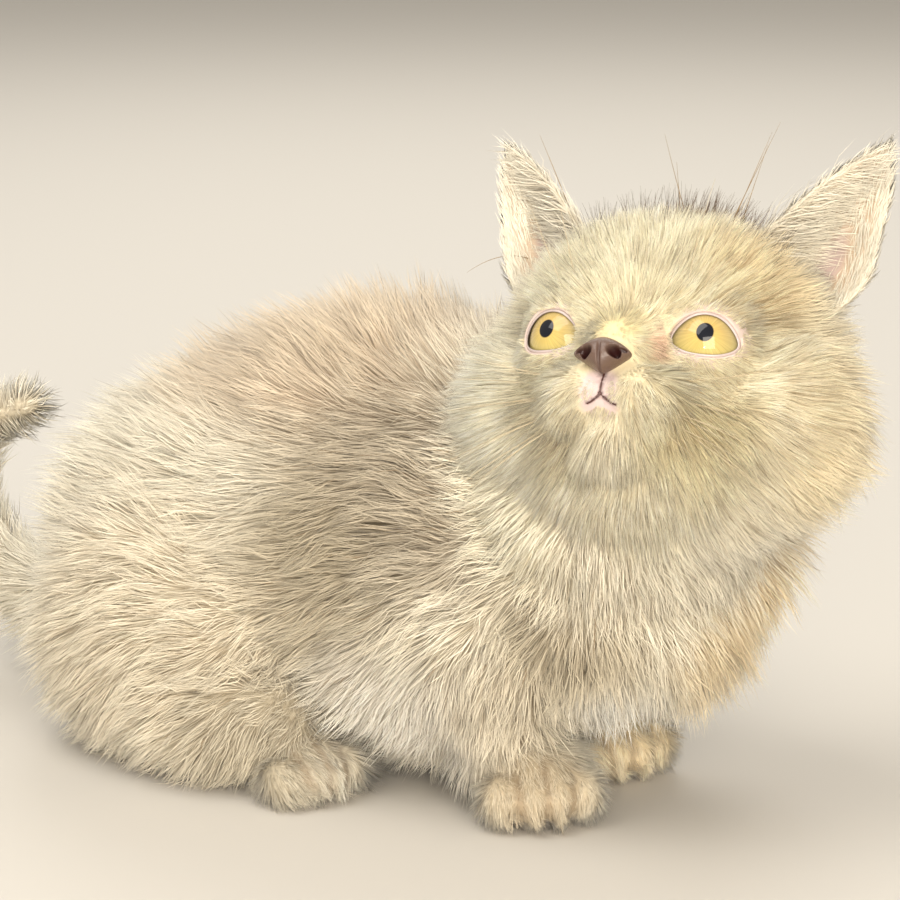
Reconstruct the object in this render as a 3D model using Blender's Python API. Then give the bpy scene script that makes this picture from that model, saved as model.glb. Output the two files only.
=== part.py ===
"""Munchkin kitten, about nine weeks old, crouching on short legs and looking up over its right shoulder.

A still, life-size model. Every part of the body is a solid of its own, 0.3 mm clear of its neighbours.
The cat faces +X, its left side is +Y, and it stands on the plane Z = 0. The head is turned to its right.
"""

import math
import random

import bmesh
import bpy
from mathutils import Matrix, Vector
from mathutils.bvhtree import BVHTree

MM = 0.001
GAP = 0.3 * MM
LEAST_FACES = 20
SLIVERS = (0.06 * MM, 0.03 * MM, 0.015 * MM)
MERGE_DISTANCE = 0.006 * MM

# The coat stands on the flesh. The solids' core is the flesh and the thick lower part of the coat.
CORE_SHARE = 0.45

# How finely each part is sculpted: voxel size, rounds of smoothing for its masses and then for its
# details, and triangles.
BODY_GRAIN = (2.2 * MM, 40, 7, 1300)
TAIL_GRAIN = (1.6 * MM, 4, 4, 520)
HEAD_GRAIN = (1.3 * MM, 40, 4, 1150)
PAW_GRAIN = (1.1 * MM, 3, 3, 310)

# The head: where its centre is, and how it is turned, tipped up and rolled, in degrees.
HEAD_CENTRE = Vector((69.5, -11.0, 90.6)) * MM
HEAD_TURN = -84.5
HEAD_TIP_UP = 26.0
HEAD_ROLL = 4.0

# The eyes, in the head's own frame: forward, left, up from its centre.
EYE_RADIUS = 8.0 * MM
EYE_CENTRE = Vector((15.9, 13.5, 3.5)) * MM
EYE_OUTWARD = 15.5
EYE_UPWARD = 3.0
EYE_OPENING_WIDTH = 12.6 * MM
EYE_OPENING_HEIGHT = 8.0 * MM
EYE_OPENING_CORNERS = 18
EYE_OPENING_SHARES = (0.3, 1.8)
EYE_OPENING_FLARE = 1.25
EYE_CORNER_POINT = 0.25
EYE_CORNER_DROP = 1.0 * MM
EYE_SLANT = 0.5
LID_THICKNESS = 1.3 * MM

# The nose leather and the mouth, in the head's own frame.
NOSE_CENTRE = Vector((31.4, 0.0, -2.2)) * MM
NOSE_WIDTH = 11.0 * MM
NOSE_HEIGHT = 7.6 * MM
NOSE_DEPTH = 6.4 * MM
NOSE_SLOPE = -16.0
NOSE_TURN = 9.0
NOSE_TRIANGLES = 160
NOSE_NARROWING = (0.35, 0.62)
NOSE_FLAT_TOP = 0.8
NOSTRIL_FORWARD = 0.44
NOSTRIL_SPREAD = 2.9 * MM
NOSTRIL_DROP = 0.9 * MM
NOSTRIL_RADII = (2.0 * MM, 1.55 * MM, 1.0 * MM)
NOSTRIL_TILT = 24.0
LIP_CENTRE = Vector((32.2, 0.0, -9.6)) * MM
LIP_HALF_WIDTH = 4.6 * MM
LIP_DROP = 2.8 * MM
LIP_POINTS = 5
LIP_OVERLAP = 0.1
LIP_BEND = 0.6
GROOVE_TOP = 0.3
GROOVE_POINTS = 4
GROOVE_STEPS = 2.9
GROOVE_RADIUS = 0.7 * MM
GROOVE_CORNERS = 5
HEAD_REACH = 30.0 * MM

# The ears, in the head's own frame.
EAR_ROOT = Vector((1.0, 25.0, 16.0)) * MM
EAR_TIP = Vector((-1.0, 38.8, 47.6)) * MM
EAR_WIDTH = 28.5 * MM
EAR_CUP = 9.0 * MM
EAR_THICKNESS = 1.9 * MM
EAR_OUTWARD = 27.0
EAR_COLUMNS = 7
EAR_ROWS = 6
EAR_SINK = 0.22
EAR_TIP_HALF_WIDTH = 0.9 * MM
EAR_TAPER = 0.78
EAR_BULGE = 0.22
EAR_CUP_FADE = 0.85
EAR_CUP_SHAPE = 2.2

# The tail runs back from the rump, curls up and ends pointing forward again.
TAIL_PATH = [
    Vector((-60.0, 5.0, 29.0)) * MM,
    Vector((-82.0, 7.0, 20.0)) * MM,
    Vector((-103.0, 9.0, 19.5)) * MM,
    Vector((-118.0, 10.0, 28.0)) * MM,
    Vector((-123.0, 10.5, 42.0)) * MM,
    Vector((-117.0, 10.5, 55.0)) * MM,
    Vector((-103.0, 10.0, 61.5)) * MM,
]
TAIL_FLESH = [8.0 * MM, 6.0 * MM, 5.0 * MM, 4.4 * MM, 3.8 * MM, 3.2 * MM, 2.4 * MM]
TAIL_COAT = [9.0 * MM, 8.5 * MM, 8.0 * MM, 7.0 * MM, 6.5 * MM, 6.0 * MM, 5.0 * MM]
TAIL_CUTS = (2, 4)
TAIL_MIDDLES = {"tail_base": 1.2, "tail_middle": 3.0, "tail_tip": 5.0}
TAIL_STEPS = 5
TAIL_LIE_STEPS = 40
TAIL_LIE_REACH = 0.2
TAIL_DISC = 34.0 * MM

FRONT_PAW = {"right": Vector((43.0, -14.6, 8.5)) * MM, "left": Vector((41.0, 16.0, 8.5)) * MM}
FRONT_PAW_TURN = {"right": -48.0, "left": -30.0}
SHOULDER = {"right": Vector((37.0, -21.0, 38.0)) * MM, "left": Vector((42.0, 19.0, 38.0)) * MM}
HIND_FOOT = {"right": Vector((-12.0, -25.5, 7.0)) * MM, "left": Vector((-5.0, 33.0, 7.0)) * MM}
HIND_FOOT_TURN = {"right": -24.0, "left": 10.0}
THIGH = {"right": Vector((-36.0, -26.0, 28.0)) * MM, "left": Vector((-38.0, 27.0, 29.0)) * MM}
SIDES = {"right": -1.0, "left": 1.0}

# The toes, in millimetres: steps across the paw, how far the outer ones are set back, radii and coat.
TOE_STEPS = (-1.5, -0.5, 0.5, 1.5)
TOE_SET_BACK = 2.0
TOE_RADII = (5.0, 3.5, 5.0)
TOE_COAT = 1.6
TOE_SPREAD_SHARE = 1.75
WRIST = Vector((-5, 0, 4)) * MM

# The materials: linear colour and roughness, and which parts wear what. All other parts wear fur_cream.
LOOKS = {
    "fur_cream": ((0.58, 0.49, 0.36), 0.85),
    "fur_paw": ((0.66, 0.57, 0.45), 0.8),
    "ear_skin": ((0.62, 0.42, 0.36), 0.7),
    "nose_leather": ((0.30, 0.14, 0.11), 0.45),
    "eye": ((0.55, 0.33, 0.06), 0.08),
}
LOOK_OF = {"paw": "fur_paw", "foot": "fur_paw", "ear": "ear_skin", "nose": "nose_leather", "eye": "eye"}
SHARP_ANGLE = 50.0
REGION_MARGIN = 1.0 * MM
COARSE = 0.6 * MM
HEAD_CUTTER_TRIANGLES = 480
PAW_CUTTER_TRIANGLES = 190
NOSE_CUTTER_TRIANGLES = 150
FLOOR_DEPTH = 0.1

# Where the coat's lie starts: away from the bridge of the nose on the head, from the nape on the body.
FACE_WHORL = Vector((30.0, 0.0, 3.0)) * MM
NAPE = Vector((56.0, -2.0, 96.0)) * MM

# The coat's locks, part by part: distance between roots, length, width, and height of the tips over the core.
LOCKS = {
    "head": (12.2 * MM, 17.0 * MM, 10.5 * MM, 4.4 * MM),
    "neck": (12.0 * MM, 17.0 * MM, 11.0 * MM, 4.4 * MM),
    "torso": (14.2 * MM, 25.0 * MM, 13.5 * MM, 6.6 * MM),
    "thigh_right": (14.5 * MM, 22.0 * MM, 13.0 * MM, 8.0 * MM),
    "thigh_left": (14.5 * MM, 22.0 * MM, 13.0 * MM, 8.0 * MM),
    "leg_front_right": (13.5 * MM, 15.0 * MM, 10.5 * MM, 3.6 * MM),
    "leg_front_left": (13.5 * MM, 15.0 * MM, 10.5 * MM, 3.6 * MM),
    "tail_base": (12.5 * MM, 17.0 * MM, 9.5 * MM, 4.6 * MM),
    "tail_middle": (12.0 * MM, 16.0 * MM, 9.0 * MM, 4.4 * MM),
    "tail_tip": (11.5 * MM, 15.0 * MM, 8.0 * MM, 3.8 * MM),
}
LOCK_THICKNESS = 2.0 * MM
LOCK_SINK = 2.6 * MM
LOCK_SHARES = (0.0, 0.36, 0.72, 1.0)
LOCK_WIDTHS = (0.62, 1.0, 0.66)
LOCK_THICKNESSES = (0.9, 1.0, 0.62)
LOCK_TRIES = 900
LOCK_CLEARANCE = 0.32 * MM
LOCK_SWING = 0.25
LOCK_SIZES = (0.88, 1.15)
LOCK_FOLLOWS_LIE = 0.4
LEAST_LIE = 1e-5

# The length and height, as shares, that a lock is tried with where a longer one doesn't fit.
LOCK_FITS = ((1.0, 1.0), (0.85, 1.3), (0.7, 1.0), (0.6, 1.5), (0.5, 0.9))

# No lock grows lower than this, on a face that looks down more than this, or with less free room above it.
LOCK_FLOOR = 6.0 * MM
LOCK_UNDERSIDE = -0.75
LOCK_HEADROOM = 9.0 * MM
FACE_BARE = 11.0 * MM
SEED = 11


def turned(turn, tip_up=0.0, roll=0.0):
    """A rotation: turn about Z, then the nose tipped up, then rolled, in degrees."""
    return (
        Matrix.Rotation(math.radians(turn), 4, "Z")
        @ Matrix.Rotation(math.radians(-tip_up), 4, "Y")
        @ Matrix.Rotation(math.radians(roll), 4, "X")
    )


HEAD = Matrix.Translation(HEAD_CENTRE) @ turned(HEAD_TURN, HEAD_TIP_UP, HEAD_ROLL)


def sided(vector, side):
    """A left-hand point of the head or body on the given side."""
    return Vector((vector.x, vector.y * side, vector.z))


class Blob:
    """One rounded mass of the body: an ellipsoid of flesh, with the depth of its coat."""

    def __init__(self, centre, radii, coat, place=None):
        self.place = (place or Matrix.Identity(4)) @ Matrix.Translation(Vector(centre) * MM)
        self.radii = Vector(radii) * MM
        self.coat = coat * MM

    def matrix(self, extra):
        """The matrix that makes this blob of a unit sphere, with each radius longer by extra."""
        return self.place @ Matrix.Diagonal((*(r + extra for r in self.radii), 1.0))


def about(centre, turn=0.0, tip_up=0.0):
    """A frame for a blob that is turned about its own centre."""
    at = Matrix.Translation(Vector(centre) * MM)
    return at @ turned(turn, tip_up) @ at.inverted()


def trunk_blobs():
    """The masses of the trunk: ribs, belly, rump, breast and shoulders."""
    return [
        Blob((20, 0, 50), (38, 32, 39), 11, about((20, 0, 50), -10)),
        Blob((-3, 1, 52), (36, 34, 39.5), 11, about((-3, 1, 52), -5)),
        Blob((-20, 2, 44), (42, 34, 38), 12, about((-20, 2, 44), -4)),
        Blob((-46, 4, 39), (30, 30, 31), 11),
        Blob((52, -1, 49), (26, 28, 25), 10, about((52, -1, 49), -20)),
        Blob((62, 11, 57), (20, 22, 20), 10),
        Blob((55, 16, 34), (15, 16, 14), 9),
        Blob((10, 0, 34), (44, 29, 27), 8),
    ]


def neck_blobs():
    """The short neck between the breast and the head."""
    return [Blob((59, -7, 68), (24, 25, 22), 8)]


def head_blobs():
    """The large masses of the head, in its own frame: skull, brow, cheeks and throat."""
    blobs = [
        Blob((-5, 0, 8), (28, 30, 24), 5, HEAD),
        Blob((-1, 0, -8), (23, 30, 20), 8, HEAD),
        Blob((12, 0, 6), (15, 21, 14), 3, HEAD),
        Blob((12, 0, -9), (15, 19, 12), 3, HEAD),
        Blob((0, 0, -17), (21, 24, 13), 7, HEAD),
    ]
    for side in SIDES.values():
        blobs.append(Blob((-1, 20 * side, -6), (20, 15.5, 16), 7.5, HEAD))
    return blobs


def muzzle_blobs():
    """The small masses of the face, in the head's own frame: bridge of the nose, pads and chin."""
    blobs = [
        Blob((24.5, 0, 0), (7.0, 5.5, 6.5), 1, HEAD),
        Blob((21.0, 0, -15.5), (8, 7, 4.6), 2, HEAD),
    ]
    for side in SIDES.values():
        blobs.append(Blob((24.8, 5.2 * side, -8.5), (7.2, 7, 5.8), 1.5, HEAD))
    return blobs


def thigh_blobs(name):
    """The haunch of one hind leg, folded against the belly."""
    centre = THIGH[name] / MM
    low = centre + Vector((12, math.copysign(2, centre.y), -13))
    return [Blob(centre, (30, 14, 26), 8, about(centre, 0, 20)), Blob(low, (22, 13, 14), 8)]


def foot_blobs(name):
    """One long hind foot, flat on the floor, with four toes at its front."""
    centre = HIND_FOOT[name]
    place = Matrix.Translation(centre) @ turned(HIND_FOOT_TURN[name])
    blobs = [Blob((-6, 0, 0), (18, 7.5, 7), 4, place), Blob((8, 0, -0.5), (11, 8.5, 7), 3, place)]
    return blobs + toe_blobs(place, Vector((16.0, 0, -1.9)), 8.4)


def toe_blobs(place, middle, spread):
    """Four toes side by side across the front of a paw, the outer two set back."""
    blobs = []
    for step in TOE_STEPS:
        back = TOE_SET_BACK * (abs(step) - 0.5)
        at = middle + Vector((-back, step * spread / TOE_SPREAD_SHARE, 0))
        blobs.append(Blob(at, TOE_RADII, TOE_COAT, place))
    return blobs


def paw_blobs(name):
    """One front paw: a round pad with four toes."""
    place = Matrix.Translation(FRONT_PAW[name]) @ turned(FRONT_PAW_TURN[name])
    return [Blob((0, 0, 0), (12, 10, 8), 3, place)] + toe_blobs(place, Vector((10.6, 0, -2.4)), 9.6)


def foreleg_blobs(name):
    """One short foreleg, from the shoulder down to the wrist."""
    top, bottom = SHOULDER[name], FRONT_PAW[name] + WRIST
    blobs = [Blob(top / MM, (15, 11, 17), 7)]
    for share in (0.5, 1.0):
        at = top.lerp(bottom, share) / MM
        thick = 13.0 - 3.5 * share
        blobs.append(Blob(at, (thick, thick, thick), 5 - 2 * share))
    return blobs


def tail_blobs(first, last):
    """The tail between two of its path's points, as a row of overlapping balls."""
    blobs = []
    for index in range(first, last):
        for step in range(TAIL_STEPS + 1):
            share = step / TAIL_STEPS
            at = tail_point(index + share)
            flesh = TAIL_FLESH[index] * (1 - share) + TAIL_FLESH[index + 1] * share
            coat = TAIL_COAT[index] * (1 - share) + TAIL_COAT[index + 1] * share
            blobs.append(Blob(at / MM, (flesh / MM,) * 3, coat / MM))
    return blobs


def tail_point(position):
    """A point of the smooth curve through the tail's path; whole positions are the path's own points."""
    last = len(TAIL_PATH) - 1
    index = min(int(position), last - 1)
    t = position - index
    before = TAIL_PATH[max(index - 1, 0)]
    start, end = TAIL_PATH[index], TAIL_PATH[index + 1]
    after = TAIL_PATH[min(index + 2, last)]
    return 0.5 * (
        2 * start
        + (end - before) * t
        + (2 * before - 5 * start + 4 * end - after) * t * t
        + (3 * start - before - 3 * end + after) * t * t * t
    )


def new_object(name, mesh):
    """An object of this mesh, in the scene."""
    obj = bpy.data.objects.new(name, mesh)
    bpy.context.scene.collection.objects.link(obj)
    return obj


def object_of(name, bm):
    """An object of this bmesh, which is freed."""
    mesh = bpy.data.meshes.new(name)
    bm.to_mesh(mesh)
    bm.free()
    return new_object(name, mesh)


def apply_modifiers(obj):
    """Puts what the modifiers make into the object's own mesh."""
    graph = bpy.context.evaluated_depsgraph_get()
    mesh = bpy.data.meshes.new_from_object(obj.evaluated_get(graph))
    obj.modifiers.clear()
    old = obj.data
    obj.data = mesh
    bpy.data.meshes.remove(old)


def blob_bmesh(blobs, extra=0.0, detail=3):
    """All these blobs as spheres in one bmesh, each with its core's part of the coat and extra on it."""
    bm = bmesh.new()
    for blob in blobs:
        matrix = blob.matrix(blob.coat * CORE_SHARE + extra)
        bmesh.ops.create_icosphere(bm, subdivisions=detail, radius=1.0, matrix=matrix)
    return bm


def hull_of(name, blobs, extra):
    """The convex hull of these blobs, grown by extra: the region that one part of the body takes."""
    bm = blob_bmesh(blobs, extra, 2)
    made = bmesh.ops.convex_hull(bm, input=bm.verts)
    spare = [v for v in made["geom_interior"] + made["geom_unused"] if isinstance(v, bmesh.types.BMVert)]
    bmesh.ops.delete(bm, geom=list(set(spare)), context="VERTS")
    hull_faces = {f for f in made["geom"] if isinstance(f, bmesh.types.BMFace)}
    bmesh.ops.delete(bm, geom=[f for f in bm.faces if f not in hull_faces], context="FACES_ONLY")
    loose = [e for e in bm.edges if not e.link_faces]
    bmesh.ops.delete(bm, geom=loose, context="EDGES")
    bmesh.ops.delete(bm, geom=[v for v in bm.verts if not v.link_faces], context="VERTS")
    bmesh.ops.recalc_face_normals(bm, faces=bm.faces)
    return object_of(name, bm)


def bad_points(mesh):
    """Where a surface is open or touches itself, once its nearest points are merged; none on a sound one."""
    bm = bmesh.new()
    bm.from_mesh(mesh)
    bmesh.ops.remove_doubles(bm, verts=bm.verts, dist=MERGE_DISTANCE)
    points = [edge.verts[0].co.copy() for edge in bm.edges if len(edge.link_faces) != 2]
    points += [vertex.co.copy() for vertex in bm.verts if not vertex.is_manifold]
    if len(bm.faces) <= LEAST_FACES:
        points.append(Vector())
    bm.free()
    return points


def is_sound(mesh):
    """True for a closed surface that doesn't touch itself."""
    return not bad_points(mesh)


def combine(obj, operation, keep_all=False, **operand):
    """Applies one Boolean modifier to an object, and says whether its surface came out sound.

    The exact solver now and then leaves nothing, or edges that touch, where two surfaces nearly coincide.
    The second solver then does the same work.
    """
    before = obj.data.copy()
    for solver in ("EXACT", "MANIFOLD"):
        obj.data = before.copy()
        modifier = obj.modifiers.new("Boolean", "BOOLEAN")
        modifier.operation = operation
        modifier.solver = solver
        for setting, value in operand.items():
            setattr(modifier, setting, value)
        apply_modifiers(obj)
        if not keep_all:
            keep_largest(obj)
            without_slivers(obj)
        if is_sound(obj.data):
            return True
    return False


def without_slivers(obj):
    """Collapses edges and thin triangles that are too small to see, where the surface stays sound."""
    for size in SLIVERS:
        bm = bmesh.new()
        bm.from_mesh(obj.data)
        bmesh.ops.dissolve_degenerate(bm, dist=size, edges=bm.edges)
        bmesh.ops.triangulate(bm, faces=bm.faces)
        cleaned = bpy.data.meshes.new(obj.name)
        bm.to_mesh(cleaned)
        bm.free()
        if is_sound(cleaned):
            obj.data = cleaned
            return


def boolean(obj, other, operation, keep_all=False):
    """Joins, cuts or keeps the common part of obj and another object, which is removed."""
    combine(obj, operation, keep_all, object=other)
    bpy.data.objects.remove(other)


def keep_largest(obj):
    """Keeps only the closed surface with the most faces."""
    bm = bmesh.new()
    bm.from_mesh(obj.data)
    seen = set()
    shells = []
    for face in bm.faces:
        if face in seen:
            continue
        shell, stack = [], [face]
        seen.add(face)
        while stack:
            current = stack.pop()
            shell.append(current)
            for edge in current.edges:
                for near in edge.link_faces:
                    if near not in seen:
                        seen.add(near)
                        stack.append(near)
        shells.append(shell)
    shells.sort(key=len)
    for shell in shells[:-1]:
        bmesh.ops.delete(bm, geom=shell, context="FACES")
    bmesh.ops.triangulate(bm, faces=bm.faces)
    bm.to_mesh(obj.data)
    bm.free()


def copy_of(obj, name):
    """A copy of an object with its own mesh."""
    return new_object(name, obj.data.copy())


def grown_copy(obj, distance, triangles=0):
    """A copy of a closed object with its surface moved out along its normals, thinned first if asked."""
    grown = copy_of(obj, "cutter")
    if triangles:
        thinned(grown, triangles)
    normals = [v.normal.copy() for v in grown.data.vertices]
    for vertex, normal in zip(grown.data.vertices, normals):
        vertex.co += normal * distance
    return grown


def thinned(obj, triangles):
    """Leaves about this many triangles."""
    thin = obj.modifiers.new("Thin", "DECIMATE")
    thin.ratio = triangles / sum(len(face.vertices) - 2 for face in obj.data.polygons)
    apply_modifiers(obj)


def sculpted(name, masses, grain, details=()):
    """One smooth closed skin over the masses and the finer details, cut flat where it meets the floor."""
    voxel, mass_rounds, detail_rounds, triangles = grain
    obj = object_of(name, blob_bmesh(masses))
    for rounds, added in ((mass_rounds, list(details)), (detail_rounds, [])):
        remesh = obj.modifiers.new("Skin", "REMESH")
        remesh.mode = "VOXEL"
        remesh.voxel_size = voxel
        smooth = obj.modifiers.new("Smooth", "SMOOTH")
        smooth.iterations = rounds
        apply_modifiers(obj)
        if not added:
            break
        bm = blob_bmesh(added)
        bm.from_mesh(obj.data)
        bm.to_mesh(obj.data)
        bm.free()
    thinned(obj, triangles)
    floor = bmesh.new()
    place = Matrix.Translation((0, 0, -FLOOR_DEPTH / 2)) @ Matrix.Diagonal((1, 1, FLOOR_DEPTH, 1))
    bmesh.ops.create_cube(floor, size=1.0, matrix=place)
    boolean(obj, object_of("floor_cutter", floor), "DIFFERENCE")
    return obj


def part_regions():
    """The named parts that are cut from the body, in order, with the blobs that bound each."""
    regions = {"neck": neck_blobs()}
    for name in SIDES:
        regions[f"leg_front_{name}"] = foreleg_blobs(name)
        regions[f"thigh_{name}"] = thigh_blobs(name)
    return regions


def cut_parts(whole, regions, rest):
    """Cuts each region's part from the whole, with a thin gap round it. The rest keeps its own name."""
    parts = {}
    for name, blobs in regions.items():
        part = copy_of(whole, name)
        boolean(part, hull_of("region", blobs, REGION_MARGIN), "INTERSECT")
        boolean(whole, hull_of("region", blobs, REGION_MARGIN + GAP), "DIFFERENCE")
        parts[name] = part
    whole.name = rest
    parts[rest] = whole
    return parts


def ball(name, centre, radius, detail=3):
    """A closed ball."""
    bm = bmesh.new()
    bmesh.ops.create_icosphere(bm, subdivisions=detail, radius=radius, matrix=Matrix.Translation(centre))
    return object_of(name, bm)


def tube(name, points, radius):
    """A thin closed tube through these points, with a flat cap on each end."""
    corners = GROOVE_CORNERS
    bm = bmesh.new()
    rings = []
    for index, point in enumerate(points):
        ahead = points[min(index + 1, len(points) - 1)] - points[max(index - 1, 0)]
        across = ahead.orthogonal().normalized()
        over = ahead.normalized().cross(across)
        ring = []
        for corner in range(corners):
            angle = 2 * math.pi * corner / corners
            ring.append(bm.verts.new(point + (across * math.cos(angle) + over * math.sin(angle)) * radius))
        rings.append(ring)
    for ring, following in zip(rings, rings[1:]):
        for corner in range(corners):
            ahead = (corner + 1) % corners
            bm.faces.new((ring[corner], ring[ahead], following[ahead], following[corner]))
    bm.faces.new(rings[0][::-1])
    bm.faces.new(rings[-1])
    bmesh.ops.recalc_face_normals(bm, faces=bm.faces)
    return object_of(name, bm)


def eye_frame(side):
    """The eye's own frame: X looks out of the head through the pupil, Z is up."""
    slant = Matrix.Rotation(math.radians(-EYE_SLANT * side), 4, "X")
    return HEAD @ Matrix.Translation(sided(EYE_CENTRE, side)) @ turned(EYE_OUTWARD * side, EYE_UPWARD) @ slant


def almond(name, side):
    """The opening between the lids: an almond outline, drawn out along the eye's axis."""
    bm = bmesh.new()
    count = EYE_OPENING_CORNERS
    outline = []
    for index in range(count):
        angle = 2 * math.pi * index / count
        width, height = math.cos(angle), math.sin(angle)
        height *= 1.0 - EYE_CORNER_POINT * abs(width) ** 3
        lowered = EYE_CORNER_DROP * width * width
        outline.append((width * EYE_OPENING_WIDTH / 2, height * EYE_OPENING_HEIGHT / 2 - lowered))
    behind, ahead_of = (EYE_RADIUS * share for share in EYE_OPENING_SHARES)
    near = [bm.verts.new((behind, y, z)) for y, z in outline]
    far = [bm.verts.new((ahead_of, y * EYE_OPENING_FLARE, z * EYE_OPENING_FLARE)) for y, z in outline]
    for index in range(count):
        ahead = (index + 1) % count
        bm.faces.new((near[index], near[ahead], far[ahead], far[index]))
    bm.faces.new(near[::-1])
    bm.faces.new(far)
    bmesh.ops.recalc_face_normals(bm, faces=bm.faces)
    bm.transform(eye_frame(side))
    return object_of(name, bm)


def add_eyes(head):
    """Lids, sockets and eyeballs: the lids stand on the head and leave an almond opening."""
    eyes = {}
    for name, side in SIDES.items():
        centre = eye_frame(side).translation
        boolean(head, ball("lids", centre, EYE_RADIUS + LID_THICKNESS), "UNION")
        boolean(head, almond("opening", side), "DIFFERENCE")
        boolean(head, ball("socket", centre, EYE_RADIUS + GAP), "DIFFERENCE")
        eyes[f"eye_{name}"] = ball(f"eye_{name}", centre, EYE_RADIUS)
    return eyes


def nose_leather():
    """The nose leather: wide over the nostrils, narrow where it meets the lip, with two nostrils."""
    bm = bmesh.new()
    bmesh.ops.create_icosphere(bm, subdivisions=4, radius=1.0)
    for vertex in bm.verts:
        start, amount = NOSE_NARROWING
        below = max(0.0, start - vertex.co.z) / (1.0 + start)
        vertex.co.y *= 1.0 - amount * below
        vertex.co.z *= NOSE_FLAT_TOP if vertex.co.z > 0 else 1.0
        vertex.co = Vector(
            (vertex.co.x * NOSE_DEPTH / 2, vertex.co.y * NOSE_WIDTH / 2, vertex.co.z * NOSE_HEIGHT / 2)
        )
    place = HEAD @ Matrix.Translation(NOSE_CENTRE) @ turned(NOSE_TURN, -NOSE_SLOPE)
    bm.transform(place)
    nose = object_of("nose", bm)
    thinned(nose, NOSE_TRIANGLES)
    for side in SIDES.values():
        hole = bmesh.new()
        at = Vector((NOSE_DEPTH * NOSTRIL_FORWARD, NOSTRIL_SPREAD * side, -NOSTRIL_DROP))
        shape = Matrix.Diagonal((*NOSTRIL_RADII, 1.0))
        tilt = Matrix.Rotation(math.radians(-NOSTRIL_TILT * side), 4, "X")
        bmesh.ops.create_icosphere(
            hole, subdivisions=2, radius=1.0, matrix=place @ Matrix.Translation(at) @ tilt @ shape
        )
        boolean(nose, object_of("nostril", hole), "DIFFERENCE")
    return nose


def on_surface(tree, local):
    """The point of the head's surface that lies behind a point of its own frame."""
    start = HEAD @ (local + Vector((HEAD_REACH, 0, 0)))
    inward = HEAD.to_3x3() @ Vector((-1, 0, 0))
    return tree.ray_cast(start, inward.normalized())[0]


def surface_tree(obj):
    """A tree for finding points of an object's surface."""
    bm = bmesh.new()
    bm.from_mesh(obj.data)
    tree = BVHTree.FromBMesh(bm)
    bm.free()
    return tree


def cut_mouth(head):
    """The groove from the nose down to the lips, and the line of the mouth to each side of it."""
    tree = surface_tree(head)
    lines = []
    below_nose = NOSE_CENTRE - Vector((0, 0, NOSE_HEIGHT * GROOVE_TOP))
    middle = [below_nose.lerp(LIP_CENTRE, step / GROOVE_STEPS) for step in range(GROOVE_POINTS)]
    lines.append([on_surface(tree, point) for point in middle])
    for side in SIDES.values():
        line = []
        for step in range(LIP_POINTS):
            share = step / (LIP_POINTS - 1) - LIP_OVERLAP
            drop = LIP_DROP * share * (1.0 + LIP_BEND * (1.0 - share))
            line.append(on_surface(tree, LIP_CENTRE + Vector((0, LIP_HALF_WIDTH * share * side, -drop))))
        lines.append(line)
    for line in lines:
        boolean(head, tube("groove", line, GROOVE_RADIUS), "DIFFERENCE")


def ear(name, side):
    """One ear: a curved sheet, cupped at its root and pointed at its tip, open to the front."""
    root, tip = sided(EAR_ROOT, side), sided(EAR_TIP, side)
    up = (tip - root).normalized()
    outward = math.radians(EAR_OUTWARD) * side
    facing = Vector((math.cos(outward), math.sin(outward), 0))
    facing = (facing - up * facing.dot(up)).normalized()
    across = up.cross(facing)
    bm = bmesh.new()
    grid = []
    for row in range(EAR_ROWS + 1):
        height = -EAR_SINK + (1 + EAR_SINK) * row / EAR_ROWS
        above = min(max(height, 0.0), 1.0)
        taper = (1.0 - above) ** EAR_TAPER
        half = max(EAR_WIDTH / 2 * taper * (1 + EAR_BULGE * above), EAR_TIP_HALF_WIDTH)
        cup = EAR_CUP * (1.0 - EAR_CUP_FADE * above)
        line = []
        for column in range(EAR_COLUMNS + 1):
            share = 2 * column / EAR_COLUMNS - 1
            depth = cup * (1 - abs(share) ** EAR_CUP_SHAPE) * min(1.0, half / (EAR_WIDTH / 4))
            at = root + up * (tip - root).length * height + across * half * share - facing * depth
            line.append(bm.verts.new(at))
        grid.append(line)
    for lower, upper in zip(grid, grid[1:]):
        for column in range(EAR_COLUMNS):
            bm.faces.new((lower[column], lower[column + 1], upper[column + 1], upper[column]))
    bm.transform(HEAD)
    obj = object_of(name, bm)
    shell = obj.modifiers.new("Thickness", "SOLIDIFY")
    shell.thickness = EAR_THICKNESS
    shell.offset = 0
    apply_modifiers(obj)
    return obj


def lie_at(name, point):
    """The way the coat runs at a point of a part, before it is laid along the surface."""
    if name == "head":
        return point - HEAD @ FACE_WHORL
    if name.startswith("tail"):
        last = len(TAIL_PATH) - 1
        steps = [last * step / TAIL_LIE_STEPS for step in range(TAIL_LIE_STEPS + 1)]
        nearest = min(steps, key=lambda position: (tail_point(position) - point).length)
        return tail_point(min(nearest + TAIL_LIE_REACH, last)) - tail_point(max(nearest - TAIL_LIE_REACH, 0))
    if name.startswith("leg_front"):
        side = name.rsplit("_", 1)[1]
        return FRONT_PAW[side] - SHOULDER[side]
    return point - NAPE


def lock_path(name, root, lie, length, height, skin):
    """The middle line of one lock, laid along the skin: points, directions and outward normals.

    The root is sunk in the skin, and the tip stands at the given height over it.
    """
    point, ahead = root, lie
    line = []
    for share, before in zip(LOCK_SHARES, (0.0, *LOCK_SHARES)):
        if share > before:
            point = point + ahead * length * (share - before)
        on_skin, normal, _, _ = skin.find_nearest(point)
        point = on_skin
        wanted = ahead.lerp(lie_at(name, point).normalized(), LOCK_FOLLOWS_LIE) if share else ahead
        ahead = (wanted - normal * wanted.dot(normal)).normalized()
        over = -LOCK_SINK + (height + LOCK_SINK) * (1.5 * share - 0.5 * share * share)
        line.append((point + normal * over, ahead, normal))
    return line


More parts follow.
